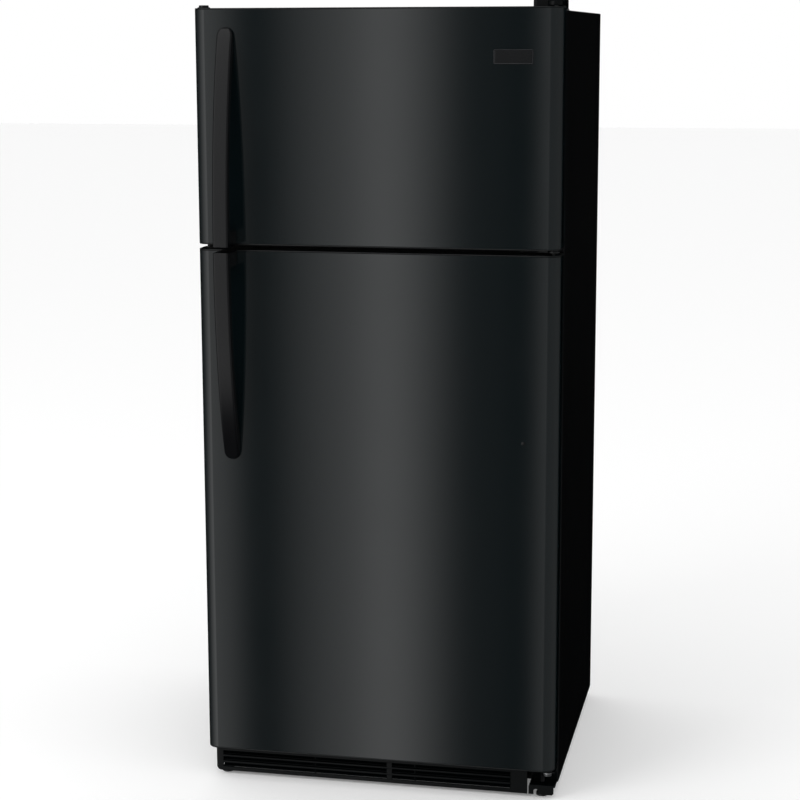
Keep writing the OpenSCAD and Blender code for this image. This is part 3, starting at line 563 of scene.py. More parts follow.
piece("top_hinge_flag", from_cad("top_hinge", 0.35), [zinc], "top_hinge")
cover = bmesh.new()
block(cover, (309, 0.5, TOP + 0.1), (372, 74, 1661), 3.5, corner=7, n=4)
nose = [(374, 3)] + arc(359, HINGE_Y, 15, 0, -2, 16) + [(344, 3)]
prism(cover, nose, "z", 1645.9, 1656, edge=2.2, segments=4)
framed(cover, "z", (318, 10), (363, 65), 5,
       [(0, 1658), (0, 1661.2), (0.5, 1661.6), (3, 1661.7)])
piece("hinge_cover_shell", cover, [black_plastic], "hinge_cover")
piece("center_hinge_plate", from_cad("center_hinge", 0.35), [hinge_black], "center_hinge")

washers = bmesh.new()
for z, mat in ((1161.5, 1), (64, 0)):
    lathe(washers, [(4.1, z), (8.5, z), (9, z + 0.5), (9, z + 2.5), (8.5, z + 3), (4.1, z + 3)],
          (HINGE_X, HINGE_Y, 0), closed=True, mat=mat)
piece("hinge_washer_pair", washers, [nylon, door_trim], "hinge_washers")

# the bracket's front plate has an arch for a lever, and its pin has a bright round head
bracket = from_cad("bottom_hinge", 0.4)
arch = [(321, 9), (331.5, 9)] + arc(336.5, 16, 5, 2, 0, 10)
arch += [(341.5, 9), (371, 9), (374, 12), (374, 27), (321, 27)]
prism(bracket, arch, "y", -46, -43.5, edge=0.6)
lathe(bracket, [(0.5, 52), (7.4, 52), (8.4, 52.8), (8.6, 56.6), (9.4, 57.2), (9.8, 58), (9.6, 59.4),
                (8.8, 60.1), (0.5, 60.1)], (HINGE_X, HINGE_Y, 0), mat=1)
piece("bottom_hinge_bracket", bracket, [black_plastic, zinc], "bottom_hinge")


def hex_screw():
    """A hexagon washer head screw along z with its washer at z = 3."""
    bm = bmesh.new()
    lathe(bm, [(2.9, 0), (2.9, 3), (5.6, 3), (6, 3.3), (5.8, 4), (4.9, 4.2), (0.5, 4.2)],
          ORIGIN, n=20)
    prism(bm, circle(0, 0, 5, 6), "z", 4, 8, edge=0.5)
    return bm


screws = bmesh.new()
repeat(screws, hex_screw(), 2, (325, 20, TOP), (0, 36, 0), zinc)
repeat(screws, hex_screw(), 1, (363, 56, TOP), ORIGIN, zinc)
repeat(screws, turned(hex_screw(), 90, "X"), 2, (299, -0.1, 1169), (22, 0, 0), zinc)
repeat(screws, turned(hex_screw(), 90, "X"), 2, (334, -1.1, 50), (28, 0, 0), hinge_black, mat=1)
piece("hinge_screw_set", screws, [zinc, hinge_black], "hinge_screws")

# ---- Rollers and leveling feet ----
# Hard rubber rollers turn on steel axles under all four corners. Two threaded steel feet screw
# into the front brackets and take the weight once the fridge is level.

black_rubber = finish("black_rubber", (0.012, 0.012, 0.013), (0.02, 0.02, 0.019), 0.55, 0.15, 500, 0.08)
ROLLER_X = 352
half_tread = [(3.1, -9), (6, -9), (6.3, -8.6), (6.6, -7.2), (12.2, -7.2), (12.8, -8.8), (13.6, -9),
              (15, -9), (15.8, -8.2), (16, -7.2), (16, -0.8), (15.6, -0.4)]
tread = half_tread + [(r, -h) for r, h in half_tread[::-1]]
for end, y, z in (("front", 52, 18), ("rear", 598, 16)):
    for side, way in (("left", -1), ("right", 1)):
        wheel = bmesh.new()
        lathe(wheel, tread, (way * ROLLER_X, y, z), axis="x", closed=True)
        label = end + "_roller_" + side
        piece(label + "_wheel", wheel, [black_rubber], label, end + "_wheel_" + side)
dark_zinc = finish("dark_zinc", (0.05, 0.05, 0.052), (0.03, 0.03, 0.032), 0.32, 0.15, 1200, 0.02,
                   metallic=0.9)
FOOT_Y = -20
THREAD_PITCH = 1.5
for side, x in (("left", -347), ("right", 347)):
    foot = bmesh.new()
    thread = [(12, 0), (13, 0.8), (13, 5.6), (12.2, 6.8), (9, 7.1), (5, 7.1)]
    for k in range(26):
        thread += [(4.3, 13 + THREAD_PITCH * k), (5, 13.6 + THREAD_PITCH * k)]
    thread += [(4.2, 53.2), (3.4, 54)]
    lathe(foot, thread, (x, FOOT_Y, 0), n=24)
    prism(foot, circle(x, FOOT_Y, 9, 6), "z", 7, 13, edge=0.6)
    piece("leveling_foot_" + side, foot, [dark_zinc], "leveling_leg_" + side, "foot_" + side)

# ---- Back panel and machine compartment cover ----
# A galvanized sheet with pressed beads closes the back. Below it a black board with air slots,
# held by screws, covers the machine compartment; the supply cord enters through a grommet.

spangle, g_in, g_out = new_tree("ShaderNodeTree", "zinc_spangle", [("Vector", "Vector", None)],
                                [("Color", "Color"), ("Roughness", "Float")])
cells = add(spangle, "ShaderNodeTexVoronoi", {"Scale": 95})
tone = add(spangle, "ShaderNodeValToRGB")
tone.color_ramp.elements[0].color = (0.4, 0.41, 0.42, 1)
tone.color_ramp.elements[1].color = (0.54, 0.55, 0.56, 1)
dull = add(spangle, "ShaderNodeMapRange", {"To Min": 0.34, "To Max": 0.5})
link(spangle, (g_in, "Vector", cells, "Vector"), (cells, "Color", tone, "Fac"),
     (tone, "Color", g_out, "Color"), (cells, "Distance", dull, "Value"), (dull, "Result", g_out, "Roughness"))
galvanized = bpy.data.materials.new("galvanized_sheet")
galvanized.use_nodes = True
zinc_tree = galvanized.node_tree
zinc_shader = zinc_tree.nodes["Principled BSDF"]
zinc_shader.inputs["Metallic"].default_value = 0.85
zinc_coords = add(zinc_tree, "ShaderNodeTexCoord")
zinc_skin = add(zinc_tree, "ShaderNodeGroup", node_tree=spangle)
link(zinc_tree, (zinc_coords, "Object", zinc_skin, "Vector"),
     (zinc_skin, "Color", zinc_shader, "Base Color"), (zinc_skin, "Roughness", zinc_shader, "Roughness"))

back = bmesh.new()
block(back, (-WRAP, BACK_FACE - 1.2, 265), (WRAP, BACK_FACE, TOP), 0.5)
bead = bmesh.new()
framed(bead, "y", (-300, -10), (300, 10), 10,
       [(-1.5, -0.3), (-0.6, 0.2), (0.3, 1), (1.4, 2), (3, 2.8), (5, 3.2), (7.5, 3.4)], n=8)
repeat(back, bead, 4, (0, BACK_FACE, 480), (0, 0, 290), galvanized)


def rear_screws(bm, count, start, step):
    unit = turned(hex_screw(), -90, "X")
    bmesh.ops.scale(unit, vec=(0.8, 0.55, 0.8), verts=unit.verts)
    repeat(bm, unit, count, start, step, zinc, mat=1)


for x in (-366, 366):
    rear_screws(back, 7, (x, BACK_FACE - 1.5, 300), (0, 0, 216))
rear_screws(back, 4, (-240, BACK_FACE - 1.5, 1624), (160, 0, 0))
piece("back_sheet", back, [galvanized, zinc], "back_panel")

rear_board = finish("rear_board", (0.022, 0.022, 0.023), (0.034, 0.034, 0.033), 0.55, 0.15, 300, 0.12)
board = from_cad("machine_cover", 0.3, 1)
for z in (250, 40):
    rear_screws(board, 5, (-340, BACK_FACE - 3.4, z), (170, 0, 0))
piece("machine_board", board, [rear_board, zinc], "machine_cover")

inlet = bmesh.new()
lathe(inlet, [(5, 620), (11.4, 620), (12, 620.6), (12, 625.6), (9.2, 626.2), (9, 628.6), (10.2, 629),
              (10.4, 629.6), (9.8, 629.9), (5, 629.9)], (-333, 0, 60), axis="y", closed=True)
piece("cord_grommet", inlet, [black_rubber], "cord_inlet")

# ---- Machine compartment ----
# The welded compressor stands on rubber mounts beside a fan that draws air over the condenser
# coil. The evaporator's water runs into a shallow pan and dries there.

base = from_cad("base_pan", 0.3, 1)
for face in base.faces:
    if face.calc_center_median().y < 3 and face.calc_center_median().z > 24.5:
        face.material_index = 1
piece("base_pan_pressing", base, [zinc, case_paint], "base_pan")

compressor_paint = finish("compressor_paint", (0.008, 0.008, 0.009), (0.014, 0.014, 0.014), 0.22, 0.2, 160,
                          0.15, coat=0.3)
copper = finish("copper_tube", (0.55, 0.24, 0.13), (0.4, 0.16, 0.09), 0.3, 0.2, 500, 0.02, metallic=1)


def tube(bm, points, r, bend=10, n=12, mat=0):
    """A round tube through the points with bent corners."""
    points = [Vector(p) for p in points]
    path = [points[0]]
    for before, here, after in zip(points, points[1:], points[2:]):
        reach = min(bend, (before - here).length * 0.48, (after - here).length * 0.48)
        a = here + (before - here).normalized() * reach
        b = here + (after - here).normalized() * reach
        for t in [k / 6 for k in range(7)]:
            path.append(a * (1 - t) ** 2 + here * 2 * t * (1 - t) + b * t ** 2)
    path.append(points[-1])
    heading = (path[1] - path[0]).normalized()
    side = heading.orthogonal().normalized()
    loops = []
    for i, p in enumerate(path):
        ahead = (path[min(i + 1, len(path) - 1)] - path[max(i - 1, 0)]).normalized()
        side = (side - ahead * side.dot(ahead)).normalized()
        other = ahead.cross(side)
        loops.append([p + side * u + other * v for u, v in circle(0, 0, r, n)])
    loft(bm, loops, mat=mat)


pump = bmesh.new()
shell = [(60, 44), (84, 46), (86, 50), (86, 68.5), (91, 69.5), (92, 71), (92, 75),
         (91, 76.5), (86.5, 77.5), (86, 82), (86, 114)]
shell += arc(0, 114, 86, 0, 1, 14)[1:-1] + [(2, 200)]
lathe(pump, shell, (-225, 525, 0), n=64)
block(pump, (-325, 453, 40), (-125, 597, 44), 1, corner=14)
block(pump, (-205, 440, 104), (-165, 462, 144), 3)
for x in (-286, -164):
    block(pump, (x - 9, 505, 43), (x + 9, 545, 66), 2)
tube(pump, [(-262, 470, 120), (-262, 446, 120), (-262, 446, 210), (-290, 446, 240)], 4,
     mat=1)
tube(pump, [(-141, 525, 89), (-119, 525, 89)], 4.2, mat=1)
piece("compressor_shell", pump, [compressor_paint, copper], "compressor")

mounts = bmesh.new()
for x in (-311, -139):
    for y in (467, 583):
        lathe(mounts, [(11, 26), (12, 27), (12, 30), (10.6, 32), (12, 34), (12, 39),
                       (11, 39.9), (6.9, 39.9), (6.9, 44.1), (10, 44.1), (10, 48.6), (9, 50),
                       (0.5, 50)], (x, y, 0), n=28)
piece("rubber_mounts", mounts, [black_rubber], "compressor_mounts")


def serpentine(bm, low, length, rows, pitch, r):
    """Rows of tube along x joined by return bends at alternate ends."""
    for j in range(rows[0]):
        y = low[1] + j * pitch[0]
        points = []
        for k in range(rows[1]):
            z = low[2] + k * pitch[1]
            ends = (low[0] - 11, low[0] + length + 11)
            start, stop = ends if k % 2 == 0 else ends[::-1]
            points += [(start, y, z), (stop, y, z)]
        tube(bm, points, r, bend=pitch[1] * 0.48)


def fins(bm, low, high, count, coat):
    fin = bmesh.new()
    block(fin, (0, low[1], low[2]), (0.6, high[1], high[2]), 0.15, n=1)
    repeat(bm, fin, count, (low[0], 0, 0), ((high[0] - low[0]) / (count - 1), 0, 0), coat)


condenser_paint = finish("condenser_paint", (0.014, 0.014, 0.015), (0.03, 0.03, 0.029), 0.4, 0.2, 400, 0.05)
condenser = bmesh.new()
serpentine(condenser, (80, 462, 80), 200, (3, 5), (40, 28), 3)
fins(condenser, (84, 442, 66), (276, 562, 206), 44, condenser_paint)
tube(condenser, [(-119, 525, 89), (-106, 525, 89), (-106, 445, 89), (-106, 445, 70),
                 (62, 445, 70), (62, 462, 80), (84, 462, 80)], 2.6, mat=1)
piece("condenser_block", condenser, [condenser_paint, copper], "condenser_coil")

fan_plastic = finish("fan_plastic", (0.02, 0.02, 0.022), (0.028, 0.028, 0.03), 0.4, 0.12, 900, 0.03)


def fan(at, axis, r, hub, depth):
    """An axial fan with five twisted blades round a dished hub."""
    part = bmesh.new()
    lathe(part, [(4, 0), (hub - 1, 0), (hub, 1), (hub, depth - 2.5), (hub - 2.5, depth),
                 (0.5, depth + 0.6)], ORIGIN, n=36)
    half = depth / 2
    for i in range(5):
        loops = []
        for s in [k / 6 for k in range(7)]:
            reach = hub - 1.5 + (r - hub + 1.5) * s
            pitch = math.radians(46 - 20 * s)
            chord = r * 0.72 * (0.62 + 0.36 * math.sin(0.6 * math.pi * min(1, s + 0.2))) * (1 - 0.25 * s * s)
            section = []
            for c, t in ((-0.5, 0), (-0.3, 0.8), (0, 1.1), (0.3, 0.7), (0.5, 0), (0.3, -0.5), (0, -0.9),
                         (-0.3, -0.7)):
                bent = c * chord
                sweep = (bent * math.cos(pitch)) / reach + 0.12 * s
                lift = bent * math.sin(pitch) * depth / (r * 0.9) + t
                lift = max(-half + 0.4, min(half - 0.4, lift)) + half
                section.append(Vector((reach * math.cos(sweep), reach * math.sin(sweep), lift)))
            loops.append(section)
        blade = bmesh.new()
        loft(blade, loops)
        merge(part, turned(blade, 72 * i, "Z"))
    bmesh.ops.translate(turned(part, 90, axis), vec=at, verts=part.verts)
    return part


piece("condenser_fan_wheel", fan((20, 525, 140), "Y", 75, 18, 22), [fan_plastic], "condenser_fan",
      "compressor_fan", sharp=50)

motor_steel = finish("motor_steel", (0.3, 0.3, 0.31), (0.2, 0.2, 0.21), 0.34, 0.15, 700, 0.02, metallic=0.9)
piece("fan_motor_pair", from_cad("fan_motors", 0.5), [motor_steel], "fan_motors")


def cup(bm, low, high, shut, mouth, wall, r, bottom, n=5):
    """An upright open box with rounded corners, floor edge and rim, from the height shut to mouth."""
    inner = bottom - wall
    stations = arc(bottom, shut + bottom, bottom, 3, 2, 4)
    lip = mouth - 0.4 * wall
    stations += [(0, lip), (0.3 * wall, mouth), (0.7 * wall, mouth), (wall, lip)]
    stations += arc(bottom, shut + bottom, inner, 2, 3, 4)
    framed(bm, "z", low, high, r, stations, n=n)


pan = bmesh.new()
cup(pan, (62, 440), (303, 600), 26.2, 60, 2, 12, 5)
piece("drain_pan_tray", pan, [fan_plastic], "drain_pan")

# ---- Liners ----
# Both cavities are vacuum-formed from white sheet with rounded corners and a flange at the front.
# The fresh food liner steps over the machine compartment and carries ribs for the shelves.

liner_white = finish("liner_white", (0.72, 0.73, 0.72), (0.66, 0.67, 0.66), 0.26, 0.1, 300, 0.05)
CAVITY = 330.5
SHEET = 2.5
FLANGE_X = 338
FLANGE_BACK = 1.2
MOUTH = 3
COVE = 10


def cavity(z0, z1, floor_line, flange):
    """A liner lofted from its back, forward outside, round the flange and back inside."""
    out = CAVITY + SHEET
    sections = []
    for y, low in [(y + SHEET, low - SHEET) for y, low in floor_line[:0:-1]] + [(FLANGE_BACK, z0 - SHEET)]:
        sections.append((y, (-out, low), (out, z1 + SHEET), 16))
    for y in (FLANGE_BACK, 0):
        sections.append((y, (-FLANGE_X, flange[0]), (FLANGE_X, flange[1]), 3))
    for grow, y in arc(MOUTH, MOUTH, MOUTH, 3, 2, 3):
        sections.append((y, (-CAVITY - grow, z0 - grow), (CAVITY + grow, z1 + grow), 16))
    for y, low in floor_line[1:]:
        sections.append((y, (-CAVITY, low), (CAVITY, z1), 16))
    deep, low = floor_line[-1]
    for d, y in arc(COVE, deep, COVE, 2, 1, 5)[1:]:
        sections.append((y, (-CAVITY + d, low + d), (CAVITY - d, z1 - d), 16 - d))
    shell = bmesh.new()
    loft(shell, [ring("y", *section, 6) for section in sections])
    return shell


freezer_shell = cavity(1202.5, 1585.5, [(0, 1202.5), (300, 1202.5), (527.5, 1202.5)], (1200.1, 1598))
piece("freezer_liner_shell", freezer_shell, [liner_white], "freezer_liner", sharp=60)
step = [(0, 137.5)] + arc(372.5, 147.5, 10, -1, 0, 4) + arc(392.5, 302.5, 10, 2, 1, 4) + [(547.5, 312.5)]
fridge_shell = cavity(137.5, 1122.5, step, (135.1, 1124.9))
for x in (-327, 327):
    for z in (560, 690, 830, 960):
        block(fridge_shell, (x - 4, 122, z - 6), (x + 4, 550, z - 0.2), 1.8)
piece("fridge_liner_shell", fridge_shell, [liner_white], "fridge_liner", sharp=60)

# ---- Insulation ----
# Polyurethane foam fills the cabinet and both doors. It only shows where a skin is taken off.

foam_look = finish("foam", (0.62, 0.5, 0.27), (0.5, 0.38, 0.18), 0.85, 0.1, 260, 0.6)
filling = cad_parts["insulation_foam"].data
for k in range(len(filling.materials)):
    filling.materials[k] = foam_look

# ---- Door liners and gaskets ----
# A white liner with a raised rim covers the back of each door. A soft magnetic gasket with a
# bellows is pressed in round it and meets the cabinet flange.

gasket_rubber = finish("gasket_rubber", (0.03, 0.03, 0.031), (0.042, 0.042, 0.042), 0.5, 0.12, 400, 0.04)


def rim(bm, axis, outer, inner, corners, profile):
    """A closed moulding between two rounded rectangles, from (distance inwards, height) stations."""
    width = inner[0][0] - outer[0][0]
    loops = []
    for share, h in [(d / width, h) for d, h in profile]:
        low, high = [[a + (b - a) * share for a, b in zip(*ends)] for ends in zip(outer, inner)]
        loops.append(ring(axis, h, low, high, corners[0] + (corners[1] - corners[0]) * share, 6))
    loft(bm, loops, closed=True)


RIM_LINE = [(-8, -11.8), (-4.5, -10.6), (-2, -9), (-0.8, -7.2), (0, -4), (2, 22), (2.6, 24.8),
            (4.2, 27), (7, 28), (23, 28), (25.8, 27), (27.4, 24.8), (28, 22), (30, -4),
            (30.8, -7.2), (32, -9), (34, -9.5), (34, -11.8)]
CORE_LINE = [(3.9, -13), (6, 20), (9, 25), (21, 25), (24, 20), (26.1, -13)]
SEAL_LINE = [(1, -12), (0.2, -10.5), (0.5, -8.4), (2.5, -7.4), (2.6, -6.8), (1.4, -5.8), (0.4, -4.6),
             (0.2, -3.4), (0.2, -1.2), (1.2, -0.35)]
SEAL_LINE += [(16 - d, y) for d, y in SEAL_LINE[::-1]]
for (door, z0, z1), (r0, r1) in zip(DOORS, ((1214, 1574), (149, 1111))):
    rim_place = (((-316, r0), (316, r1)), ((-286, r0 + 30), (286, r1 - 30)), (30, 12))
    sheet = bmesh.new()
    block(sheet, (-336, -12, z0 + 32), (336, -9.5, z1 - 32), 0.8, axis="y", corner=12)
    rim(sheet, "y", *rim_place, RIM_LINE)
    piece(door + "_lining", sheet, [liner_white], door + "_liner", door, sharp=50)
    core = bmesh.new()
    prism(core, door_plan(1.6, -13.6), "z", z0 + 9.2, z1 - 9.2, edge=0)
    rim(core, "y", *rim_place, CORE_LINE)
    piece(door + "_core", core, [foam_look], door + "_foam", door, sharp=50)
    seal = bmesh.new()
    rim(seal, "y", ((-354, z0 + 14), (354, z1 - 14)), ((-338, z0 + 30), (338, z1 - 30)),
        (10, 4), SEAL_LINE)
    piece(door + "_seal", seal, [gasket_rubber], door + "_gasket", door, sharp=50)

# ---- Freezer interior ----
# A moulded cover hides the evaporator; its fan blows through a ringed guard and the air returns
# through slots at the bottom. A wire shelf rests on four clips.

plastic_white = finish("plastic_white", (0.72, 0.72, 0.7), (0.66, 0.66, 0.64), 0.32, 0.12, 800, 0.02)
FAN_Z = 1440
COVER_FACE = 478
DIAL_Z = 1230
cover_plate = bmesh.new()
slots_below = [rounded(x - 10, 1214, x + 10, 1236, 4, 4) for x in range(-280, 281, 35) if abs(x) > 40]
pierced(cover_plate, rounded(-330.3, 1202.7, 330.3, 1585.3, 16),
        slots_below + [circle(0, FAN_Z, 54), circle(0, DIAL_Z, 4.1, 24)], "y",
        COVER_FACE, COVER_FACE + 3, edge=0.7, segments=3)
for radius in (14, 28, 42):
    lathe(cover_plate, [(radius + 1.2 * u, COVER_FACE + 1.4 * v) for u, v in circle(0, 0, 1, 8)],
          (0, 0, FAN_Z), axis="y", closed=True)
lathe(cover_plate, [(53, 478.5), (53.2, 475.4), (55, 474.4), (58, 474.6), (60.5, 476.6), (61.5, 478.5)],
      (0, 0, FAN_Z), axis="y", n=64, closed=True)
spoke = bmesh.new()
tube(spoke, [(-55, COVER_FACE, 0), (55, COVER_FACE, 0)], 1.2, n=8)
repeat(cover_plate, spoke, 6, (0, 0, FAN_Z), ORIGIN, plastic_white, (0, math.pi / 6, 0))
bead = bmesh.new()
framed(bead, "y", (-290, -3), (290, 3), 3, [(0, 478.4), (0.4, 477.2), (1.2, 476.5), (2.2, 476.2)])
repeat(cover_plate, bead, 2, (0, 0, 1262), (0, 0, 294), plastic_white)
piece("evaporator_cover_panel", cover_plate, [plastic_white], "evaporator_cover", sharp=50)

coil_aluminium = finish("coil_aluminium", (0.7, 0.71, 0.72), (0.55, 0.56, 0.57), 0.32, 0.2, 600, 0.03,
                        metallic=1)
evaporator = bmesh.new()
serpentine(evaporator, (-270, 500, 1262), 540, (2, 5), (24, 24), 4)
fins(evaporator, (-264, 488.5, 1250.5), (264, 535.5, 1369.5), 66, coil_aluminium)
tube(evaporator, [(x, 512, z) for x, z in ((-285, 1350), (-285, 1230), (285, 1230),
                                             (285, 1350))], 4, bend=14)
piece("evaporator_block", evaporator, [coil_aluminium], "evaporator_coil")
piece("evaporator_fan_wheel", fan((0, 501, FAN_Z), "X", 50, 14, 15), [fan_plastic], "evaporator_fan",
      "freezer_fan", sharp=50)

white_wire = finish("white_wire", (0.83, 0.83, 0.82), (0.77, 0.77, 0.76), 0.24, 0.08, 700, 0.01)
rack = bmesh.new()
wire = bmesh.new()
tube(wire, [(0, 147, -11), (0, 147, 3.5), (0, 451, 3.5), (0, 451, -3)], 1.6, bend=5, n=10)
repeat(rack, wire, 41, (-321.5, 0, 1392), (643 / 40, 0, 0), white_wire)
for y, z, r in ((150, 1392, 2.9), (300, 1392, 2.9), (450, 1392, 2.9), (150.2, 1382.5, 2.2)):
    tube(rack, [(-327.4, y, z), (327.4, y, z)], r, n=14)
for x in (-323.5, 323.5):
    clip = bmesh.new()
    block(clip, (-7, -8, 1382), (7, 8, 1389.4), 1.2)
    repeat(rack, clip, 2, (x, 160, 0), (0, 280, 0), white_wire)
piece("wire_shelf", rack, [white_wire], "freezer_shelf")


def knob(label, at, r, h, body):
    """A pointer knob facing the front, with a round skirt and a raised grip bar."""
    bm = bmesh.new()
    lathe(bm, [(3.8, -4), (3.9, 0), (r - 0.6, 0), (r, 0.6), (r, 2.2), (r - 0.8, 3), (r * 0.78, 3.2),
               (r * 0.72, 4.2), (r * 0.7, h - 1.2), (r * 0.64, h), (0.3, h + 0.1)], ORIGIN, n=48)
    block(bm, (-2.2, -r * 0.95, 0.5), (2.2, r * 0.95, h + 2), 1)
    block(bm, (-0.5, r * 0.5, h + 1.8), (0.5, r * 0.92, h + 2.15), 0.15, mat=1)
    bmesh.ops.translate(turned(bm, 90, "X"), vec=at, verts=bm.verts)
    piece(label + "_cap", bm, [plastic_white, door_trim], label, body, sharp=45)


knob("freezer_knob", (0, COVER_FACE - 0.5, DIAL_Z), 16, 9, "freezer_dial")

# ---- Door racks and bins ----
# White moulded racks hang between the sides of the door rims. The top shelf of the fresh food
# door is a dairy box with a clear lid that turns on two pins.

BIN_X = 285.5


def bin_trays(levels):
    bm = bmesh.new()
    for z, h in levels:
        cup(bm, (-BIN_X, -9.3), (BIN_X, 58), z, z + h, 2.5, 11, 7)
        for low, high, face in ((z + h - 9, z + h - 5.5, 59.2), (z + 16, z + 18.5, 59)):
            block(bm, (-BIN_X + 10, 56.8, low), (BIN_X - 10, face, high), 1, axis="x")
    return bm


piece("freezer_rack_pair", bin_trays(((1250, 70), (1410, 60))), [plastic_white], "freezer_door_racks",
      "freezer_door", sharp=50)
BOX_BACK = -9.4
BOX_FOOT = 960
BOX_TOP = 1060
PIN_Y = 42
PIN_Z = 1050
bins = bin_trays(((190, 105), (440, 90), (690, 80)))
dairy_side = [(BOX_BACK, BOX_FOOT), (50, BOX_FOOT)] + arc(38, 1045, 12, 0, 1, 6)
dairy_side += [(24, BOX_TOP), (BOX_BACK, BOX_TOP)]
for x in (-BIN_X, BIN_X - 2.5):
    pierced(bins, dairy_side, [circle(PIN_Y, PIN_Z, 2.6, 20)], "x", x, x + 2.5, edge=0.5)
for low, front, high, r in ((BOX_FOOT, 50, 962.5, 0.8), (1057.5, 24, BOX_TOP, 0.8),
                            (960.5, -7, 1059.5, 0.6)):
    block(bins, (-BIN_X + 0.5, BOX_BACK, low), (BIN_X - 0.5, front, high), r)
piece("fridge_bin_set", bins, [plastic_white], "fridge_door_bins", "fridge_door", sharp=50)


def see_through(made, share, ior):
    """Makes a finish transparent: share is how much light passes."""
    shader = made.node_tree.nodes["Principled BSDF"]
    shader.inputs["Transmission Weight"].default_value = share
    shader.inputs["IOR"].default_value = ior
    return made


clear_plastic = see_through(
    finish("clear_plastic", (0.86, 0.89, 0.9), (0.8, 0.84, 0.86), 0.06, 0.08, 120, 0.02), 0.93, 1.3)
lid = bmesh.new()
lid_line = [(51, 961.5), (53.5, 961.5)] + arc(49.5, 1055.5, 4, 0, 1, 6)
lid_line += [(26.5, 1059.5), (26.5, 1057)] + arc(49.5, 1055.5, 1.5, 1, 0, 4)
prism(lid, lid_line, "x", -282.3, 282.3, edge=0.7, segments=3)
block(lid, (-45, 53, 966), (45, 58, 969), 1.2)
for side in (-1, 1):
    x = side * 280.8
    block(lid, (x - 1.5, 38, 1046), (x + 1.5, 52, 1058.5), 1.2)
    pin = [(2.5, -1.7), (2.5, 1.4), (2.1, 1.7), (0.2, 1.7)]
    lathe(lid, [(r, side * h) for r, h in pin][::side], (side * 283, PIN_Y, PIN_Z), axis="x", n=20)
piece("dairy_lid_shell", lid, [clear_plastic], "dairy_lid", "dairy_door", sharp=45)

# ---- Fresh food interior ----
# Glass panes lie in white frames on the liner ribs, over two clear drawers. The box under the
# ceiling holds the thermostat knob, the lamp behind a louvered lens and the door switch.

glass = see_through(
    finish("shelf_glass", (0.82, 0.93, 0.89), (0.78, 0.9, 0.86), 0.02, 0.02, 60, 0.002), 0.97, 1.45)
EDGE = 329.7
BACK = 553.5
SHELF_Y = 112
COVER_Y = 102
COVER_Z = 330
FRAME_LINE = [(0, 1.2), (0.3, 0.4), (1.2, 0), (20.6, 0), (21.6, 0.3), (22, 1), (22, 9.4), (21.6, 9.9),
              (14.3, 10), (14, 10.3), (14, 13.4), (13.4, 14), (1.8, 14), (0.6, 13.5), (0, 12.2)]


def shelf(frames, panes, y, z):
    rim(frames, "z", ((-EDGE, y), (EDGE, BACK)), ((-EDGE + 22, y + 26), (EDGE - 22, BACK - 23.5)),
        (15, 5), [(d, z + h) for d, h in FRAME_LINE])
    block(frames, (-EDGE + 8, y - 0.6, z + 3), (EDGE - 8, y + 3, z + 11), 1.4, axis="x")
    block(panes, (-315.6, y + 17, z + 10.1), (315.6, BACK - 15.2, z + 13.8), 0.7, corner=6)


frames = bmesh.new()
panes = bmesh.new()
for level in (560, 830):
    shelf(frames, panes, SHELF_Y, level)
drawer_cover = bmesh.new()
shelf(drawer_cover, panes, COVER_Y, COVER_Z)
block(drawer_cover, (-4, 108, 137.8), (4, 379, COVER_Z + 1), 1)
for rail_left in (-EDGE, 299):
    block(drawer_cover, (rail_left, 108, 300), (rail_left + EDGE - 299, 379, COVER_Z + 1), 1.5)
piece("shelf_frame_pair", frames, [plastic_white], "shelf_frames", sharp=50)
piece("shelf_panes", panes, [glass], "shelf_glass", sharp=50)
piece("crisper_cover_frame", drawer_cover, [plastic_white], "crisper_cover", sharp=50)

DRAWER_FOOT = 137.9
DRAWER_TOP = 317.9
DRAWER_FACE = 100
for side, x0, x1 in (("left", -295, -6), ("right", 6, 295)):
    drawer = bmesh.new()
    cup(drawer, (x0, DRAWER_FACE), (x1, 375), DRAWER_FOOT, DRAWER_TOP, 2.5, 12, 9, n=6)
    block(drawer, (x0 + 1, DRAWER_FACE - 0.1, DRAWER_FOOT + 1.6),
          (x1 - 1, DRAWER_FACE + 4.8, DRAWER_TOP - 0.2), 1.8, axis="y", corner=7)
    pull = [(101, 315.9), (92, 315.9)] + arc(91, 312.9, 3, 1, 2, 5)
    pull += [(88, 299), (89, 297.9), (90, 297.9), (91, 299), (91, 311), (92, 311.9),
             (101, 311.9)]
    prism(drawer, pull, "x", x0 + 60, x1 - 60, edge=1, segments=3)
    for z in (170, 215, 260):
        block(drawer, (x0 + 22, DRAWER_FACE - 1.1, z), (x1 - 22, DRAWER_FACE + 1, z + 3), 1, axis="x")
    label = "crisper_drawer_" + side
    piece(label, drawer, [clear_plastic], "crisper_" + side, label, sharp=50)

HOUSE_TOP = 1122.4
HOUSE_FOOT = 1070.5
DIAL_X = -70
LAMP_X = 40
BOX_Z = 1096.5
housing = bmesh.new()
rim(housing, "z", ((-160, 60), (230, 330)), ((-157, 63), (227, 327)), (9, 6.5),
    [(0, 1074.5), (0.15, 1072.4), (1.2, 1070.9), (2.4, HOUSE_FOOT), (3, 1071.2), (3, HOUSE_TOP),
     (0, HOUSE_TOP)])
block(housing, (-158, 62, HOUSE_TOP - 3), (228, 328, HOUSE_TOP), 0.8)
vents = [rounded(x, 190, x + 12, 320, 4, 4) for x in range(-130, 191, 20)]
pierced(housing, rounded(-158.5, 61.5, 228.5, 328.5, 8), vents, "z", HOUSE_FOOT, HOUSE_FOOT + 3, edge=0.8,
        segments=3)
block(housing, (185, 40, HOUSE_FOOT), (215, 62, 1102.5), 2)
lathe(housing, [(8, 299), (16, 299), (16, 301), (15, 301), (15, 326), (8, 326)],
      (LAMP_X, 0, BOX_Z), axis="y", closed=True)
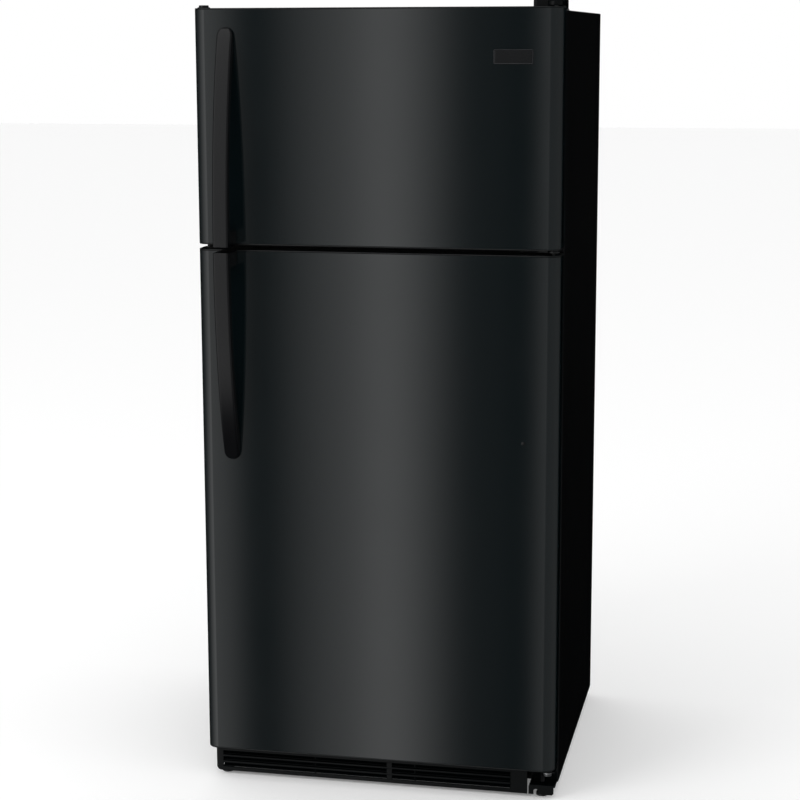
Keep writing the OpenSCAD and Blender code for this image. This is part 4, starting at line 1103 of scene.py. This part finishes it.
lathe(housing, [(17.6, 60.5), (17.6, 59.4), (18.2, 58.9), (19.6, 58.9), (20.2, 59.4), (20.2, 60.5)],
      (DIAL_X, 0, BOX_Z), axis="y", closed=True)
tick = bmesh.new()
block(tick, (-0.6, 59.5, 21.5), (0.6, 60.2, 26), 0.2)
repeat(housing, tick, 7, (DIAL_X, 0, BOX_Z), ORIGIN, door_trim, (0, math.radians(20), 0), mat=1)
piece("control_box", housing, [plastic_white, door_trim], "control_housing", sharp=50)
knob("temperature_knob", (DIAL_X, 59.5, BOX_Z), 17, 10, "temperature_dial")

bulb_glass = see_through(
    finish("bulb_glass", (0.95, 0.93, 0.86), (0.92, 0.89, 0.8), 0.3, 0.05, 400, 0.004), 0.6, 1.3)
bulb = bmesh.new()
globe = [(9.6, 272), (10.4, 269), (13, 265)]
globe += [(21 * math.cos(a), 254 - 21 * math.sin(a)) for a in [2 * k / 15 - 0.5 for k in range(16)]]
lathe(bulb, globe + [(0.3, 233)], (LAMP_X, 0, BOX_Z), axis="y")
cap = [(0.5, 300), (4, 300), (6, 298.5)]
for k in range(6):
    cap += [(9.8, 297 - 3.2 * k), (9, 295.4 - 3.2 * k)]
lathe(bulb, cap + [(9.9, 277), (9.9, 270), (0.5, 270)], (LAMP_X, 0, BOX_Z), axis="y", n=28, mat=1)
piece("lamp_bulb", bulb, [bulb_glass, zinc], "light_bulb", sharp=50)
button = bmesh.new()
lathe(button, [(0.3, 29), (3, 29), (3.8, 29.6), (4, 30.6), (4, 55), (2, 55), (2, 49.5),
               (0.3, 49.5)], (200, 0, 1086.5), axis="y", n=28)
piece("switch_button", button, [plastic_white], "switch_plunger", "door_switch")

# ---- Studio ----
# A plain pale floor in an even white room. Long soft panels stand to the left of the camera and
# show only as vertical bands in the gloss of the doors.

floor_mesh = bpy.data.meshes.new("floor")
floor_mesh.from_pydata([(-30, -30, 0), (30, -30, 0), (30, 30, 0), (-30, 30, 0)], [], [(0, 1, 2, 3)])
floor = bpy.data.objects.new("floor", floor_mesh)
bpy.context.collection.objects.link(floor)
floor_white = finish("floor_white", (0.9, 0.9, 0.9), (0.89, 0.89, 0.89), 0.8, 0.1, 40, 0)
floor_glow = floor_white.node_tree.nodes["Principled BSDF"]
floor_glow.inputs["Emission Color"].default_value = (1, 1, 1, 1)
floor_glow.inputs["Emission Strength"].default_value = 0.14
floor_mesh.materials.append(floor_white)
floor.visible_glossy = False
floor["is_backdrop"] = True

world = bpy.data.worlds.new("studio")
bpy.context.scene.world = world
world.use_nodes = True
sky = world.node_tree


def reckon(operation, a, b=None):
    """A maths step on the sky; each value is a number or another step's output."""
    made = add(sky, "ShaderNodeMath", operation=operation)
    for socket, value in ((made.inputs[0], a), (made.inputs[1], b)):
        if isinstance(value, (int, float)):
            socket.default_value = value
        elif value is not None:
            sky.links.new(value, socket)
    return made.outputs[0]


way = add(sky, "ShaderNodeTexCoord")
split = add(sky, "ShaderNodeSeparateXYZ")
link(sky, (way, "Generated", split, 0))
left = reckon("MULTIPLY", split.outputs["X"], -1)
ahead = reckon("MULTIPLY", split.outputs["Y"], -1)
azimuth = reckon("MULTIPLY", reckon("ARCTAN2", left, ahead), 180 / math.pi)

# brightness of the panels against the angle in degrees left of the door's normal
PEAK = 1.7
NEAR = (6, 20)
NEAR_BANDS = [(6, 0.62), (7.35, 0.66), (7.55, 0.66), (7.7, 0.26), (7.85, 0.08), (8.05, 0.02), (8.4, 0.03),
              (8.73, 0.11), (9.5, 0.12), (9.81, 0.15), (10.17, 0.27), (10.53, 0.47), (11.25, 0.98),
              (11.61, 1.26), (11.97, 1.46), (12.33, 1.55), (12.69, 1.46), (13.05, 1.26), (13.41, 1.05),
              (13.77, 0.89), (14.13, 0.79), (15.2, 0.37), (15.55, 0.22), (15.9, 0.1), (16.28, 0.06),
              (16.63, 0.18), (17.36, 0.84), (18, 1.1), (20, 1.5)]
ROUND = (-180, 180)
WIDE_BANDS = [(-180, 0), (-165, 0), (-145, 0.03), (-120, 0.2), (-90, 0.34), (-50, 0.34), (-20, 0.32),
              (-5, 0.32), (2, 0.5), (6, 0.62), (20, 1.5), (28, 1.55), (42, 1.15), (58, 0.75), (78, 0.3),
              (100, 0.09), (122, 0.02), (135, 0), (180, 0)]


def banded(points, low, high):
    curve = sky.nodes.new("ShaderNodeFloatCurve")
    line = curve.mapping.curves[0]
    scaled = [((a - low) / (high - low), level / PEAK) for a, level in points]
    line.points[0].location = scaled[0]
    line.points[1].location = scaled[-1]
    for place in scaled[1:-1]:
        line.points.new(*place)
    for point in line.points:
        point.handle_type = "VECTOR"
    curve.mapping.update()
    share = reckon("DIVIDE", reckon("SUBTRACT", azimuth, low), high - low)
    sky.links.new(share, curve.inputs["Value"])
    return reckon("MULTIPLY", curve.outputs["Value"], PEAK)


near_side = reckon("MULTIPLY", reckon("GREATER_THAN", azimuth, NEAR[0]),
                   reckon("LESS_THAN", azimuth, NEAR[1]))
near_part = reckon("MULTIPLY", banded(NEAR_BANDS, *NEAR), near_side)
wide_part = reckon("MULTIPLY", banded(WIDE_BANDS, *ROUND), reckon("SUBTRACT", 1, near_side))
bands = reckon("ADD", near_part, wide_part)
falloff = add(sky, "ShaderNodeMapRange", {"From Min": -0.56, "From Max": -0.42, "To Min": 0.06},
              interpolation_type="SMOOTHSTEP")
soft = add(sky, "ShaderNodeMapRange", {"From Min": -1, "To Min": 0.7, "To Max": 1})
link(sky, (split, "Z", falloff, "Value"), (split, "Z", soft, "Value"))
panels = reckon("MULTIPLY", bands, falloff.outputs["Result"])
ray = add(sky, "ShaderNodeLightPath")
seen = reckon("MAXIMUM", ray.outputs["Is Camera Ray"], ray.outputs["Is Transmission Ray"])
lit = add(sky, "ShaderNodeMix", data_type="FLOAT")
shown = add(sky, "ShaderNodeMix", {"B": 1}, data_type="FLOAT")
link(sky, (ray, "Is Glossy Ray", lit, "Factor"), (soft, "Result", lit, "A"), (lit, "Result", shown, "A"))
sky.links.new(panels, lit.inputs["B"])
sky.links.new(seen, shown.inputs["Factor"])
link(sky, (shown, "Result", sky.nodes["Background"], "Color"))

for label, place, aim, size, power in (
        ("key_panel", (-2.6, -3.4, 3.4), (0, 0, 0.9), 2.2, 60),
        ("fill_panel", (1.2, -4.6, 2.2), (0, 0, 0.8), 2.4, 22)):
    lamp = bpy.data.lights.new(label, "AREA")
    lamp.size = size
    lamp.energy = power
    stand = bpy.data.objects.new(label, lamp)
    stand.location = place
    stand.rotation_mode = "QUATERNION"
    stand.rotation_quaternion = (Vector(aim) - Vector(place)).to_track_quat("-Z", "Y")
    stand.visible_glossy = False
    bpy.context.collection.objects.link(stand)

YAW = math.radians(11.882)
PITCH = math.radians(9.956)
ROLL = math.radians(-0.149)
camera = bpy.data.cameras.new("camera")
camera.sensor_width = 36
camera.lens = 85.8
camera.shift_y = -0.035
camera.clip_end = 100
eye = bpy.data.objects.new("camera", camera)
look = Vector((-math.sin(YAW) * math.cos(PITCH), math.cos(YAW) * math.cos(PITCH), -math.sin(PITCH)))
right = Vector((math.cos(YAW), math.sin(YAW), 0))
up = right.cross(look)
across = right * math.cos(ROLL) + up * math.sin(ROLL)
upright = up * math.cos(ROLL) - right * math.sin(ROLL)
eye.matrix_world = Matrix.Translation((0.8436, -4.0824, 1.5857)) @ Matrix(
    (across, upright, -look)).transposed().to_4x4()
bpy.context.collection.objects.link(eye)
bpy.context.scene.camera = eye
bpy.context.scene.view_settings.view_transform = "Standard"
bpy.context.scene.view_settings.look = "None"

low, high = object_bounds()
